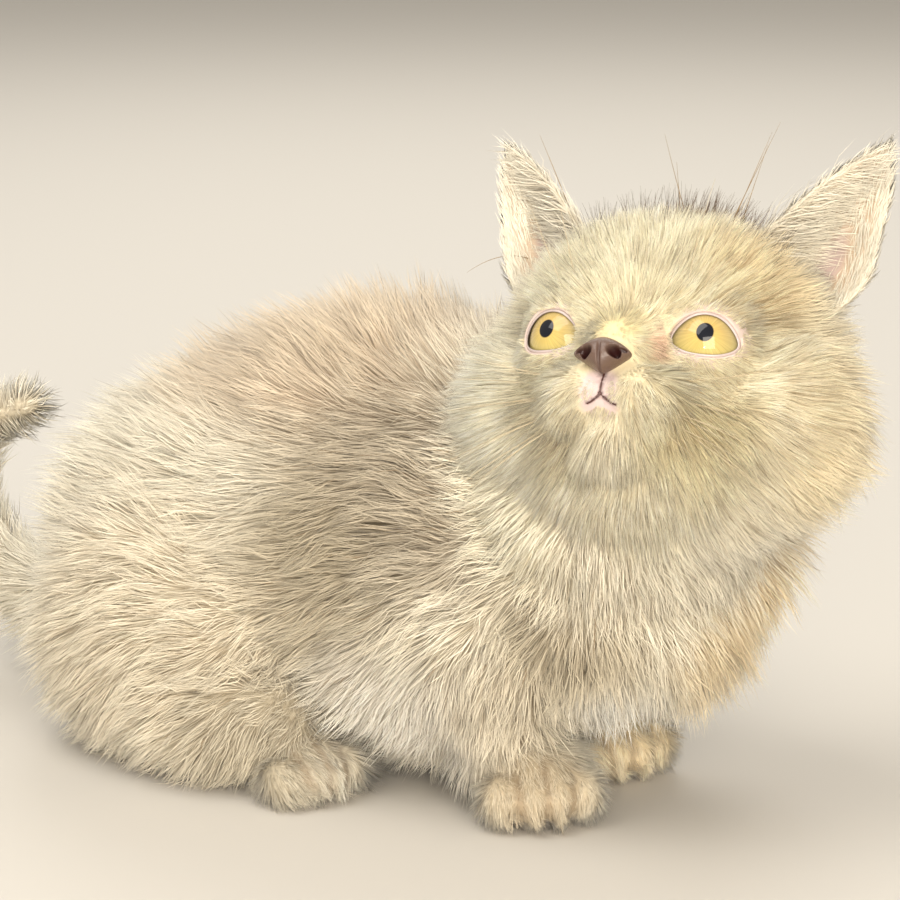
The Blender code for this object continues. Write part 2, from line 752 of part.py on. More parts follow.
def lock_rings(line, width, extra=0.0):
    """The cross sections of one lock, from its sunk root to just before its tip, and the tip itself."""
    rings = []
    for (centre, ahead, normal), wide, thick in zip(line, LOCK_WIDTHS, LOCK_THICKNESSES):
        across = normal.cross(ahead)
        half_width = width * wide / 2 + extra
        half_thick = LOCK_THICKNESS * thick / 2 + extra
        ring = [centre + across * half_width, centre + normal * half_thick]
        ring += [centre - across * half_width, centre - normal * half_thick]
        rings.append(ring)
    return rings, line[-1][0] + line[-1][1] * extra * 2


def add_lock(bm, rings, tip):
    """Adds one closed lock to the bmesh."""
    made = [[bm.verts.new(corner) for corner in ring] for ring in rings]
    bm.faces.new(made[0])
    for ring, following in zip(made, made[1:]):
        for corner in range(4):
            ahead = (corner + 1) % 4
            bm.faces.new((ring[ahead], ring[corner], following[corner], following[ahead]))
    end = bm.verts.new(tip)
    for corner in range(4):
        bm.faces.new((made[-1][(corner + 1) % 4], made[-1][corner], end))


def lock_object(name, rings, tip):
    """One closed lock as an object, with its faces turned outwards."""
    bm = bmesh.new()
    add_lock(bm, rings, tip)
    bmesh.ops.recalc_face_normals(bm, faces=bm.faces)
    bmesh.ops.triangulate(bm, faces=bm.faces)
    return object_of(name, bm)


def lock_tree(rings, tip):
    """A tree of one lock's surface, to test it against others."""
    bm = bmesh.new()
    add_lock(bm, rings, tip)
    bmesh.ops.triangulate(bm, faces=bm.faces)
    tree = BVHTree.FromBMesh(bm)
    bm.free()
    return tree


def root_candidates(part, rng):
    """Random points spread over a part's surface by area, each with its normal."""
    faces = list(part.data.polygons)
    areas = [face.area for face in faces]
    points = []
    for face in rng.choices(faces, weights=areas, k=LOCK_TRIES):
        corners = [part.data.vertices[index].co for index in face.vertices]
        first, second = sorted((rng.random(), rng.random()))
        weights = (first, second - first, 1 - second)
        point = sum((corner * weight for corner, weight in zip(corners, weights)), Vector())
        points.append((point, face.normal.copy()))
    return points


def wears_locks(name, point, normal, trees):
    """True where the long coat grows: on the outer surface, behind the face and off the floor."""
    if point.z < LOCK_FLOOR or normal.z < LOCK_UNDERSIDE:
        return False
    if name == "head" and (HEAD.inverted() @ point).x > FACE_BARE:
        return False
    start = point + normal * SLIVERS[0]
    return all(tree.ray_cast(start, normal, LOCK_HEADROOM)[0] is None for tree in trees)


def placed_lock(name, root, normal, skin, others, rng):
    """One lock that stays clear of the floor and of every other part, or None where none fits."""
    _, length, width, height = LOCKS[name]
    lie = lie_at(name, root)
    lie = lie - normal * lie.dot(normal)
    if lie.length < LEAST_LIE:
        return None
    lie = Matrix.Rotation(rng.uniform(-LOCK_SWING, LOCK_SWING), 3, normal) @ lie.normalized()
    size = rng.uniform(*LOCK_SIZES)
    for shorter, higher in LOCK_FITS:
        line = lock_path(name, root, lie, length * size * shorter, height * size * higher, skin)
        wide = width * size * shorter ** 0.5
        rings, tip = lock_rings(line, wide, LOCK_CLEARANCE)
        corners = [corner for ring in rings for corner in ring] + [tip]
        if min(corner.z for corner in corners) < LOCK_CLEARANCE:
            continue
        tree = lock_tree(rings, tip)
        if not any(tree.overlap(other) for other in others):
            return lock_rings(line, wide)
    return None


def grow_locks(parts):
    """Plants the locks on every part that has a long coat, and joins each part's locks to it."""
    rng = random.Random(SEED)
    bodies = {name: surface_tree(part) for name, part in parts.items()}
    skin = skin_tree([part for name, part in parts.items() if not name.startswith(("eye", "ear", "nose"))])
    planted = {name: [] for name in parts}
    for name, (spacing, *_) in LOCKS.items():
        skins = [tree for other, tree in bodies.items() if other != name]
        grown = [tree for other, made in planted.items() if other != name for _, tree in made]
        roots = []
        for point, normal in root_candidates(parts[name], rng):
            if any((point - root).length < spacing for root in roots):
                continue
            if not wears_locks(name, point, normal, skins):
                continue
            shape = placed_lock(name, point, normal, skin, skins + grown, rng)
            if shape is None:
                continue
            roots.append(point)
            planted[name].append((shape, lock_tree(*shape)))
    for name, made in planted.items():
        if made:
            join_locks(parts[name], [shape for shape, _ in made])


def skin_tree(parts):
    """A tree of the whole cat's surface."""
    bm = bmesh.new()
    for part in parts:
        bm.from_mesh(part.data)
    tree = BVHTree.FromBMesh(bm)
    bm.free()
    return tree


def join_locks(part, shapes):
    """Joins all these locks to their part in one union. A lock that leaves a bad edge is left out."""
    locks = bpy.data.collections.new("locks")
    made = [lock_object("lock", *shape) for shape in shapes]
    for lock in made:
        locks.objects.link(lock)
    before = part.data.copy()
    while not combine(part, "UNION", operand_type="COLLECTION", collection=locks) and made:
        spot = bad_points(part.data)[0]
        worst = min(made, key=lambda lock: min((vertex.co - spot).length for vertex in lock.data.vertices))
        made.remove(worst)
        bpy.data.objects.remove(worst)
        part.data = before.copy()
    for lock in made:
        bpy.data.objects.remove(lock)
    bpy.data.collections.remove(locks)


def to_origin(parts):
    """Moves everything so that the origin is on the floor, under the middle of the model's box."""
    corners = [vertex.co for part in parts.values() for vertex in part.data.vertices]
    low = Vector([min(corner[axis] for corner in corners) for axis in range(3)])
    high = Vector([max(corner[axis] for corner in corners) for axis in range(3)])
    shift = Vector((-(low.x + high.x) / 2, -(low.y + high.y) / 2, -low.z))
    for part in parts.values():
        part.data.transform(Matrix.Translation(shift))
    return shift


def material(name, colour, roughness):
    """A Principled material of one colour, given as linear red, green and blue."""
    made = bpy.data.materials.new(name)
    made.use_nodes = True
    made.diffuse_color = (*colour, 1.0)
    shader = made.node_tree.nodes["Principled BSDF"]
    shader.inputs["Base Color"].default_value = (*colour, 1.0)
    shader.inputs["Roughness"].default_value = roughness
    shader.inputs["Metallic"].default_value = 0.0
    return made


def finish_parts(parts):
    """Gives each part its material and its own origin, under one empty for the whole cat."""
    materials = {name: material(name, *look) for name, look in LOOKS.items()}
    cat = bpy.data.objects.new("kitten", None)
    bpy.context.scene.collection.objects.link(cat)
    for name, part in parts.items():
        look = next((look for start, look in LOOK_OF.items() if name.startswith(start)), "fur_cream")
        part.data.materials.clear()
        part.data.materials.append(materials[look])
        corners = [vertex.co for vertex in part.data.vertices]
        middle = sum(corners, Vector()) / len(corners)
        part.data.transform(Matrix.Translation(-middle))
        part.location = middle
        part.parent = cat
        part.data.shade_smooth()
        part.data.set_sharp_from_angle(angle=math.radians(SHARP_ANGLE))


def shells_of(obj):
    """Splits an object's mesh into one object for each closed surface."""
    bm = bmesh.new()
    bm.from_mesh(obj.data)
    left = set(bm.faces)
    shells = []
    while left:
        stack = [left.pop()]
        shell = set(stack)
        while stack:
            for edge in stack.pop().edges:
                fresh = [face for face in edge.link_faces if face in left]
                left.difference_update(fresh)
                shell.update(fresh)
                stack.extend(fresh)
        shells.append({face.index for face in shell})
    bm.free()
    pieces = []
    for shell in shells:
        bm = bmesh.new()
        bm.from_mesh(obj.data)
        bmesh.ops.delete(bm, geom=[face for face in bm.faces if face.index not in shell], context="FACES")
        pieces.append(object_of(obj.name, bm))
    bpy.data.objects.remove(obj)
    return pieces


def tail_parts(torso):
    """The tail: one smooth tapering piece, clear of the rump and cut across in two places."""
    last = len(TAIL_PATH) - 1
    tail = sculpted("tail", tail_blobs(0, last), TAIL_GRAIN)
    boolean(tail, grown_copy(torso, GAP), "DIFFERENCE")
    for position in TAIL_CUTS:
        along = tail_point(position + 0.01) - tail_point(position - 0.01)
        place = Matrix.Translation(tail_point(position)) @ along.to_track_quat("Z", "Y").to_matrix().to_4x4()
        disc = bmesh.new()
        size = Matrix.Diagonal((TAIL_DISC, TAIL_DISC, GAP, 1.0))
        bmesh.ops.create_cube(disc, size=1.0, matrix=place @ size)
        boolean(tail, object_of("slit", disc), "DIFFERENCE", keep_all=True)
    pieces = shells_of(tail)
    parts = {}
    for name, position in TAIL_MIDDLES.items():
        at = tail_point(position)
        pieces.sort(key=lambda piece: min((vertex.co - at).length for vertex in piece.data.vertices))
        parts[name] = pieces.pop(0)
        parts[name].name = name
    return parts


def main():
    """Builds the whole cat, part by part."""
    for obj in list(bpy.data.objects):
        bpy.data.objects.remove(obj)
    regions = part_regions()
    legs = [blob for blobs in regions.values() for blob in blobs]
    body = sculpted("body", trunk_blobs(), BODY_GRAIN, legs)
    head = sculpted("head", head_blobs(), HEAD_GRAIN, muzzle_blobs())
    boolean(body, grown_copy(head, GAP + COARSE, HEAD_CUTTER_TRIANGLES), "DIFFERENCE")
    fine = {}
    for name, side in SIDES.items():
        fine[f"ear_{name}"] = ear(f"ear_{name}", side)
        boolean(fine[f"ear_{name}"], grown_copy(head, GAP), "DIFFERENCE")
        boolean(body, grown_copy(fine[f"ear_{name}"], GAP), "DIFFERENCE")
    for name in SIDES:
        fine[f"paw_front_{name}"] = sculpted(f"paw_front_{name}", paw_blobs(name), PAW_GRAIN)
        fine[f"foot_hind_{name}"] = sculpted(f"foot_hind_{name}", foot_blobs(name), PAW_GRAIN)
        for part in (f"paw_front_{name}", f"foot_hind_{name}"):
            boolean(body, grown_copy(fine[part], GAP + COARSE, PAW_CUTTER_TRIANGLES), "DIFFERENCE")
    parts = cut_parts(body, regions, "torso") | fine
    parts |= tail_parts(parts["torso"])
    parts["head"] = head
    parts["nose"] = nose_leather()
    parts |= add_eyes(head)
    cut_mouth(head)
    boolean(head, grown_copy(parts["nose"], GAP + COARSE / 2, NOSE_CUTTER_TRIANGLES), "DIFFERENCE")
    grow_locks(parts)
    to_origin(parts)
    finish_parts(parts)


if __name__ == "__main__":
    main()
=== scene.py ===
"""Munchkin kitten, about nine weeks old, crouching on short legs and looking up over its right shoulder.

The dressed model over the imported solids: one skin, a coat of fine solid tufts that follows its lie, glassy
eyes set between lids, a leather nose, thin ears and long whiskers, on a plain floor in soft light.
"""

import logging
import math
from dataclasses import dataclass, field
from enum import Enum
from typing import Any

import bmesh
import bpy
import numpy as np
from mathutils import Matrix, Vector, kdtree
from mathutils.bvhtree import BVHTree


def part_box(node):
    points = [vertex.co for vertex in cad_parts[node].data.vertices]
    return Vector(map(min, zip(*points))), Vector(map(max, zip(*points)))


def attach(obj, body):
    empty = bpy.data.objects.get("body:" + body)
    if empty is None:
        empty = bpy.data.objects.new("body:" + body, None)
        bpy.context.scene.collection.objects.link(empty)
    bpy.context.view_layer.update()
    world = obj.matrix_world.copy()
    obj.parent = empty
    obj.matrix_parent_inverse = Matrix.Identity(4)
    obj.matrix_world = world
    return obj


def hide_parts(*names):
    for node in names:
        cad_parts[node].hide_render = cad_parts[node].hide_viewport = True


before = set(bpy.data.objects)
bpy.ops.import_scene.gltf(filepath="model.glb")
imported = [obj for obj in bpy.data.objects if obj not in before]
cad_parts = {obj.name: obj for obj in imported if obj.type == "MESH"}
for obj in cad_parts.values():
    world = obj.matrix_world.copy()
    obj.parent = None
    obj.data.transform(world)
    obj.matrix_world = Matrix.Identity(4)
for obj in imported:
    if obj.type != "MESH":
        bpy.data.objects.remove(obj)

LOG = logging.getLogger("kitten")
MM = 0.001
SIDES = {"right": -1.0, "left": 1.0}
BAKE_MAP = "OFBake"
FLESH_NODES = (
    "head", "neck", "torso", "leg_front_left", "leg_front_right", "thigh_left", "thigh_right",
    "paw_front_left", "paw_front_right", "foot_hind_left", "foot_hind_right",
    "tail_base", "tail_middle", "tail_tip",
)


class Slot(Enum):
    """The record's material slots."""

    FUR = "fur_cream"
    PAW = "fur_paw"
    EAR = "ear_skin"
    NOSE = "nose_leather"
    EYE = "eye"


def linear(hex_colour: str) -> np.ndarray:
    """Turns an sRGB hex colour into linear red, green and blue.

    Args:
        hex_colour: The colour as six hex digits after a hash sign.

    Returns:
        Three linear values from 0 to 1.
    """
    channels = np.array([int(hex_colour[i:i + 2], 16) / 255 for i in (1, 3, 5)])
    return np.where(channels <= 0.04045, channels / 12.92, ((channels + 0.055) / 1.055) ** 2.4)


def rgba(hex_colour: str) -> tuple[float, float, float, float]:
    """An opaque linear colour for a shader's socket."""
    red, green, blue = linear(hex_colour)
    return float(red), float(green), float(blue), 1.0


def turned(turn: float, tip_up: float = 0.0, roll: float = 0.0) -> Matrix:
    """A rotation: turn about Z, then the nose tipped up, then rolled, in degrees."""
    return (
        Matrix.Rotation(math.radians(turn), 4, "Z")
        @ Matrix.Rotation(math.radians(-tip_up), 4, "Y")
        @ Matrix.Rotation(math.radians(roll), 4, "X")
    )


def sided(vector: Vector, side: float) -> Vector:
    """A left-hand point of the head or body on the given side."""
    return Vector((vector.x, vector.y * side, vector.z))


def apply(matrix: Matrix, points: np.ndarray) -> np.ndarray:
    """Points moved by a matrix."""
    grid = np.array(matrix)
    return points @ grid[:3, :3].T + grid[:3, 3]


def unit(vectors: np.ndarray) -> np.ndarray:
    """Vectors of length one; a vector of no length stays as it is."""
    return vectors / np.maximum(np.linalg.norm(vectors, axis=-1, keepdims=True), 1e-12)


def smooth(low: float, high: float, values: np.ndarray) -> np.ndarray:
    """A soft step from 0 at low to 1 at high, which may lie the other way round."""
    share = np.clip((values - low) / (high - low), 0.0, 1.0)
    return share * share * (3 - 2 * share)


def mix(first: np.ndarray, second: np.ndarray, share: np.ndarray) -> np.ndarray:
    """Blends two colours or points by a share for each row."""
    weight = np.asarray(share)[..., None]
    return first * (1 - weight) + second * weight


def new_object(name: str, mesh: bpy.types.Mesh) -> bpy.types.Object:
    """An object of this mesh, in the scene."""
    obj = bpy.data.objects.new(name, mesh)
    bpy.context.scene.collection.objects.link(obj)
    return obj


def object_of(name: str, shape: bmesh.types.BMesh) -> bpy.types.Object:
    """An object of this bmesh, which is freed."""
    mesh = bpy.data.meshes.new(name)
    shape.to_mesh(mesh)
    shape.free()
    return new_object(name, mesh)


def settle(obj: bpy.types.Object) -> bpy.types.Object:
    """Puts what an object's modifiers make into its own mesh."""
    graph = bpy.context.evaluated_depsgraph_get()
    mesh = bpy.data.meshes.new_from_object(obj.evaluated_get(graph))
    obj.modifiers.clear()
    old = obj.data
    obj.data = mesh
    bpy.data.meshes.remove(old)
    return obj


def cut(obj: bpy.types.Object, tool: bpy.types.Object) -> None:
    """Cuts a closed tool out of a closed object, and removes the tool."""
    modifier = obj.modifiers.new("Cut", "BOOLEAN")
    modifier.operation = "DIFFERENCE"
    modifier.solver = "MANIFOLD"
    modifier.object = tool
    settle(obj)
    bpy.data.objects.remove(tool)


def vertices_of(mesh: bpy.types.Mesh) -> np.ndarray:
    """A mesh's vertices as rows."""
    flat = np.empty(len(mesh.vertices) * 3)
    mesh.vertices.foreach_get("co", flat)
    return flat.reshape(-1, 3)


def normals_of(mesh: bpy.types.Mesh) -> np.ndarray:
    """A mesh's vertex normals as rows."""
    flat = np.empty(len(mesh.vertices) * 3)
    mesh.vertex_normals.foreach_get("vector", flat)
    return flat.reshape(-1, 3)


def set_vertices(mesh: bpy.types.Mesh, points: np.ndarray) -> None:
    """Moves a mesh's vertices to these rows."""
    mesh.vertices.foreach_set("co", points.astype(np.float32).ravel())
    mesh.update()


def paint(mesh: bpy.types.Mesh, name: str, colours: np.ndarray) -> None:
    """Keeps a colour for each vertex under this name."""
    layer = mesh.color_attributes.new(name, "FLOAT_COLOR", "POINT")
    full = np.ones((len(colours), 4), np.float32)
    full[:, :3] = colours
    layer.data.foreach_set("color", full.ravel())


def finish_piece(obj: bpy.types.Object, slot: Slot, *nodes: str) -> None:
    """Makes a piece ride on the one body and hides the nodes it stands for."""
    obj.data.shade_smooth()
    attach(obj, "root")
    if nodes:
        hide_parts(*nodes)
    LOG.info("%s: %d triangles", obj.name, len(obj.data.loops) - 2 * len(obj.data.polygons))


class Shader:
    """A node material under construction."""

    def __init__(self, name: str) -> None:
        """Starts an empty material of this name.

        Args:
            name: What the finish is, in plain words.
        """
        self.material = bpy.data.materials.new(name)
        self.material.use_nodes = True
        self.tree = self.material.node_tree
        self.body = self.tree.nodes["Principled BSDF"]

    def node(self, kind: str, links: dict[str, Any] | None = None, **settings: Any) -> bpy.types.Node:
        """Adds a node with its settings and links.

        Args:
            kind: Blender's name for the node.
            links: An output socket or a plain value for each input, by name or by position.
            settings: Values of the node's own properties.

        Returns:
            The node.
        """
        made = self.tree.nodes.new(kind)
        for name, value in settings.items():
            setattr(made, name, value)
        for name, value in (links or {}).items():
            socket = made.inputs[name]
            if isinstance(value, bpy.types.NodeSocket):
                self.tree.links.new(value, socket)
            else:
                socket.default_value = value
        return made

    def set(self, **values: Any) -> None:
        """Sets the surface shader's sockets, or links them; an underscore stands for a space."""
        for name, value in values.items():
            socket = self.body.inputs[name.replace("_", " ")]
            if isinstance(value, bpy.types.NodeSocket):
                self.tree.links.new(value, socket)
            else:
                socket.default_value = value


@dataclass(frozen=True)
class Blob:
    """One rounded mass of flesh, with the depth of its coat, in millimetres before it is placed."""

    place: Matrix
    radii: Vector
    coat: float

    @classmethod
    def at(cls, centre: tuple[float, float, float], radii: tuple[float, float, float], coat: float,
           place: Matrix | None = None) -> "Blob":
        """Makes a blob from plain numbers in millimetres."""
        ground = place or Matrix.Identity(4)
        return cls(ground @ Matrix.Translation(Vector(centre) * MM), Vector(radii) * MM, coat * MM)

    def add_to(self, shape: bmesh.types.BMesh) -> None:
        """Adds this blob's surface to a bmesh."""
        matrix = self.place @ Matrix.Diagonal((*self.radii, 1.0))
        bmesh.ops.create_icosphere(shape, subdivisions=4, radius=1.0, matrix=matrix)

    def distance(self, points: np.ndarray) -> np.ndarray:
        """How far points are outside this blob's surface, nearly."""
        local = apply(self.place.inverted(), points)
        radii = np.array(self.radii)
        near = np.linalg.norm(local / radii, axis=1)
        slope = np.linalg.norm(local / radii ** 2, axis=1)
        return near * (near - 1) / np.maximum(slope, 1e-9)


def about(centre: tuple[float, float, float], turn: float = 0.0, tip_up: float = 0.0) -> Matrix:
    """A frame for a blob that is turned about its own centre."""
    at = Matrix.Translation(Vector(centre) * MM)
    return at @ turned(turn, tip_up) @ at.inverted()


@dataclass
class Head:
    """The head's place and the places of its features, as the solids have them."""

    centre: Vector = field(default_factory=lambda: Vector((69.5, -11.0, 90.6)) * MM)
    turn: float = -84.5
    tip_up: float = 26.0
    roll: float = 4.0
    eye_radius: float = 8.0 * MM
    eye_centre: Vector = field(default_factory=lambda: Vector((15.9, 13.5, 3.5)) * MM)
    eye_outward: float = 15.5
    eye_upward: float = 3.0
    eye_slant: float = 0.5
    opening_width: float = 12.6 * MM
    opening_height: float = 8.0 * MM
    corner_point: float = 0.25
    corner_drop: float = 1.0 * MM
    nose_centre: Vector = field(default_factory=lambda: Vector((31.4, -0.7, -2.4)) * MM)
    nose_slope: float = -16.0
    nose_turn: float = 3.0
    nose_roll: float = 4.0
    lip_centre: Vector = field(default_factory=lambda: Vector((32.2, -0.8, -9.6)) * MM)
    lip_half_widths: tuple[float, float] = (2.4 * MM, 3.3 * MM)
    lip_drop: float = 2.0 * MM
    whorl: Vector = field(default_factory=lambda: Vector((30.0, 0.0, 3.0)) * MM)

    def frame(self) -> Matrix:
        """The head's own frame: X forward, Y to the cat's left, Z up."""
        return Matrix.Translation(self.centre) @ turned(self.turn, self.tip_up, self.roll)

    def eye_frame(self, side: float) -> Matrix:
        """An eye's own frame: X looks out through the pupil, Z is up."""
        slant = Matrix.Rotation(math.radians(-self.eye_slant * side), 4, "X")
        look = turned(self.eye_outward * side, self.eye_upward)
        return self.frame() @ Matrix.Translation(sided(self.eye_centre, side)) @ look @ slant

    def nose_frame(self) -> Matrix:
        """The nose leather's own frame."""
        return self.frame() @ Matrix.Translation(self.nose_centre) @ turned(
            self.nose_turn, -self.nose_slope, self.nose_roll
        )

    def opening(self, count: int) -> np.ndarray:
        """The almond outline between the lids.

        Args:
            count: How many points go round it.

        Returns:
            Rows of sideways and upward places in the eye's own frame.
        """
        angle = 2 * math.pi * np.arange(count) / count
        width, height = np.cos(angle), np.sin(angle)
        height = height * (1 - self.corner_point * np.abs(width) ** 3)
        lowered = self.corner_drop * width ** 2
        return np.stack((width * self.opening_width / 2, height * self.opening_height / 2 - lowered), axis=1)

    def large_blobs(self) -> list[Blob]:
        """Skull, brow, cheeks and throat."""
        place = self.frame()
        blobs = [
            Blob.at((-5, 0, 8), (28, 30, 24), 5, place),
            Blob.at((-1, 0, -8), (23, 30, 20), 8, place),
            Blob.at((12, 0, 6), (15, 21, 14), 3, place),
            Blob.at((12, 0, -9), (15, 19, 12), 4.2, place),
            Blob.at((0, 0, -17), (21, 24, 13), 7, place),
        ]
        return blobs + [Blob.at((-1, 20 * side, -6), (20, 15.5, 16), 7.5, place) for side in SIDES.values()]

    def small_blobs(self) -> list[Blob]:
        """Bridge of the nose, chin and the two whisker pads."""
        place = self.frame()
        blobs = [Blob.at((24.5, 0, 0), (7, 5.5, 6.5), 1, place), Blob.at((21, 0, -15.5), (8, 7, 4.6), 3.2, place)]
        return blobs + [Blob.at((24.8, 5.2 * side, -8.5), (7.2, 7, 5.8), 1.5, place) for side in SIDES.values()]


@dataclass
class Tail:
    """The tail's path back from the rump, up and round to its tip."""

    path: tuple[tuple[float, float, float], ...] = (
        (-60.0, 5.0, 29.0), (-82.0, 7.0, 20.0), (-103.0, 9.0, 19.5), (-118.0, 10.0, 28.0),
        (-123.0, 10.5, 42.0), (-117.0, 10.5, 55.0), (-103.0, 10.0, 61.5),
    )
    flesh: tuple[float, ...] = (8.0, 6.0, 5.0, 4.4, 3.8, 3.2, 2.4)
    coat: tuple[float, ...] = (9.0, 8.5, 8.0, 7.0, 6.5, 6.0, 5.0)
    steps: int = 5

    def point(self, position: float) -> np.ndarray:
        """A point of the smooth curve through the path; whole positions are the path's own points."""
        last = len(self.path) - 1
        index = min(int(position), last - 1)
        t = position - index
        before, start, end, after = (
            np.array(self.path[min(max(index + step, 0), last)]) for step in (-1, 0, 1, 2)
        )
        curve = 2 * start + (end - before) * t + (2 * before - 5 * start + 4 * end - after) * t ** 2
        return 0.5 * (curve + (3 * start - before - 3 * end + after) * t ** 3) * MM

    def blobs(self) -> list[Blob]:
        """The tail's flesh as a row of overlapping balls."""
        made = []
        for index in range(len(self.path) - 1):
            for step in range(self.steps + 1):
                share = step / self.steps
                at = tuple(self.point(index + share) / MM)
                flesh = self.flesh[index] * (1 - share) + self.flesh[index + 1] * share
                coat = self.coat[index] * (1 - share) + self.coat[index + 1] * share
                made.append(Blob.at(at, (flesh,) * 3, coat))
        return made

    def direction(self, points: np.ndarray) -> np.ndarray:
        """The way the tail runs at the point of its path nearest to each row."""
        positions = np.linspace(0, len(self.path) - 1, 60)
        line = np.array([self.point(position) for position in positions])
        along = np.gradient(line, axis=0)
        nearest = np.argmin(((points[:, None] - line[None]) ** 2).sum(axis=2), axis=1)
        return along[nearest]


@dataclass
class Limbs:
    """Where the legs, paws and feet are, as the solids have them, in millimetres."""

    paw: dict[str, tuple[float, float, float]] = field(
        default_factory=lambda: {"right": (43.0, -14.6, 8.5), "left": (41.0, 16.0, 8.5)})
    paw_turn: dict[str, float] = field(default_factory=lambda: {"right": -48.0, "left": -30.0})
    shoulder: dict[str, tuple[float, float, float]] = field(
        default_factory=lambda: {"right": (37.0, -21.0, 38.0), "left": (42.0, 19.0, 38.0)})
    foot: dict[str, tuple[float, float, float]] = field(
        default_factory=lambda: {"right": (-12.0, -25.5, 7.0), "left": (-5.0, 33.0, 7.0)})
    foot_turn: dict[str, float] = field(default_factory=lambda: {"right": -24.0, "left": 10.0})
    thigh: dict[str, tuple[float, float, float]] = field(
        default_factory=lambda: {"right": (-36.0, -26.0, 28.0), "left": (-38.0, 27.0, 29.0)})

    def paw_place(self, name: str) -> Matrix:
        """A front paw's own frame, with X towards its toes."""
        return Matrix.Translation(Vector(self.paw[name]) * MM) @ turned(self.paw_turn[name])

    def foot_place(self, name: str) -> Matrix:
        """A hind foot's own frame, with X towards its toes."""
        return Matrix.Translation(Vector(self.foot[name]) * MM) @ turned(self.foot_turn[name])

    def toes(self, place: Matrix, middle: tuple[float, float, float], spread: float) -> list[Blob]:
        """Four toes side by side across the front of a paw, the outer two set back."""
        blobs = []
        for step in (-1.5, -0.5, 0.5, 1.5):
            at = (middle[0] - 2.0 * (abs(step) - 0.5), step * spread / 1.75, middle[2])
            blobs.append(Blob.at(at, (5.0, 3.9, 5.0), 1.6, place))
        return blobs

    def creases(self, points: np.ndarray) -> np.ndarray:
        """How near points are to the creases between the toes, from 0 to 1."""
        share = np.zeros(len(points))
        for name in SIDES:
            for place, spread, start in (
                (self.paw_place(name), 9.6, 5 * MM), (self.foot_place(name), 8.4, 10.5 * MM),
            ):
                local = apply(place.inverted(), points)
                ahead = smooth(start, start + 5 * MM, local[:, 0]) * (np.abs(local[:, 2]) < 12 * MM)
                for step in (-1, 0, 1):
                    beside = np.abs(local[:, 1] - step * spread / 1.75 * MM)
                    share = np.maximum(share, ahead * smooth(1.3 * MM, 0.35 * MM, beside))
        return share

    def paw_blobs(self, name: str) -> list[Blob]:
        """One round front paw with its toes."""
        place = self.paw_place(name)
        return [Blob.at((0, 0, 0), (12, 10, 8), 3, place)] + self.toes(place, (10.6, 0, -2.4), 9.6)

    def foot_blobs(self, name: str) -> list[Blob]:
        """One long hind foot with its toes."""
        place = self.foot_place(name)
        sole = [Blob.at((-6, 0, 0), (18, 7.5, 7), 4, place), Blob.at((8, 0, -0.5), (11, 8.5, 7), 3, place)]
        return sole + self.toes(place, (16.0, 0, -1.9), 8.4)

    def foreleg_blobs(self, name: str) -> list[Blob]:
        """One short foreleg, from the shoulder down to the wrist."""
        top = Vector(self.shoulder[name])
        bottom = Vector(self.paw[name]) + Vector((-5, 0, 4))
        blobs = [Blob.at(tuple(top), (15, 11, 17), 7)]
        for share in (0.5, 1.0):
            thick = 13.0 - 3.5 * share
            blobs.append(Blob.at(tuple(top.lerp(bottom, share)), (thick,) * 3, 5 - 2 * share))
        return blobs

    def thigh_blobs(self, name: str) -> list[Blob]:
        """The haunch of one hind leg, folded against the belly."""
        centre = self.thigh[name]
        low = (centre[0] + 12, centre[1] + math.copysign(2, centre[1]), centre[2] - 13)
        return [Blob.at(centre, (30, 14, 26), 8, about(centre, 0, 20)), Blob.at(low, (22, 13, 14), 8)]


def trunk_blobs() -> list[Blob]:
    """Ribs, belly, rump, breast and shoulders."""
    return [
        Blob.at((20, 0, 50), (38, 32, 39), 11, about((20, 0, 50), -10)),
        Blob.at((-3, 1, 52), (36, 34, 39.5), 11, about((-3, 1, 52), -5)),
        Blob.at((-20, 2, 44), (42, 34, 38), 12, about((-20, 2, 44), -4)),
        Blob.at((-46, 4, 39), (30, 30, 31), 11),
        Blob.at((52, -1, 49), (26, 28, 25), 10, about((52, -1, 49), -20)),
        Blob.at((62, 11, 57), (20, 22, 20), 10),
        Blob.at((55, 16, 34), (15, 16, 14), 9),
        Blob.at((10, 0, 34), (44, 29, 27), 8),
    ]


class Zone(Enum):
    """The parts of the body that wear their coat in their own way."""

    TRUNK = "trunk"
    NECK = "neck"
    SKULL = "skull"
    MUZZLE = "muzzle"
    THIGH = "thigh"
    FORELEG = "foreleg"
    PAW = "paw"
    FOOT = "foot"
    TAIL = "tail"


@dataclass(frozen=True)
class Growth:
    """How the coat grows on one part of the body, with lengths in millimetres.

    density is tufts to a square millimetre, slant is a tuft's length over its height, clump is the distance
    between the middles of the locks that tufts gather in, and gather is how far their tips go to it.
    """

    density: float
    slant: float
    width: float
    clump: float
    gather: float


GROWTH = {
    Zone.TRUNK: Growth(3.5, 1.16, 0.25, 1.9, 0.48),
    Zone.NECK: Growth(3.5, 1.25, 0.25, 2.0, 0.5),
    Zone.SKULL: Growth(5.2, 1.35, 0.19, 1.3, 0.36),
    Zone.MUZZLE: Growth(15.0, 2.4, 0.17, 1.0, 0.3),
    Zone.THIGH: Growth(3.7, 1.2, 0.25, 1.9, 0.48),
    Zone.FORELEG: Growth(3.8, 1.5, 0.26, 1.6, 0.5),
    Zone.PAW: Growth(7.0, 2.2, 0.22, 1.0, 0.35),
    Zone.FOOT: Growth(6.0, 2.2, 0.22, 1.0, 0.35),
    Zone.TAIL: Growth(3.6, 1.4, 0.3, 1.8, 0.5),
}


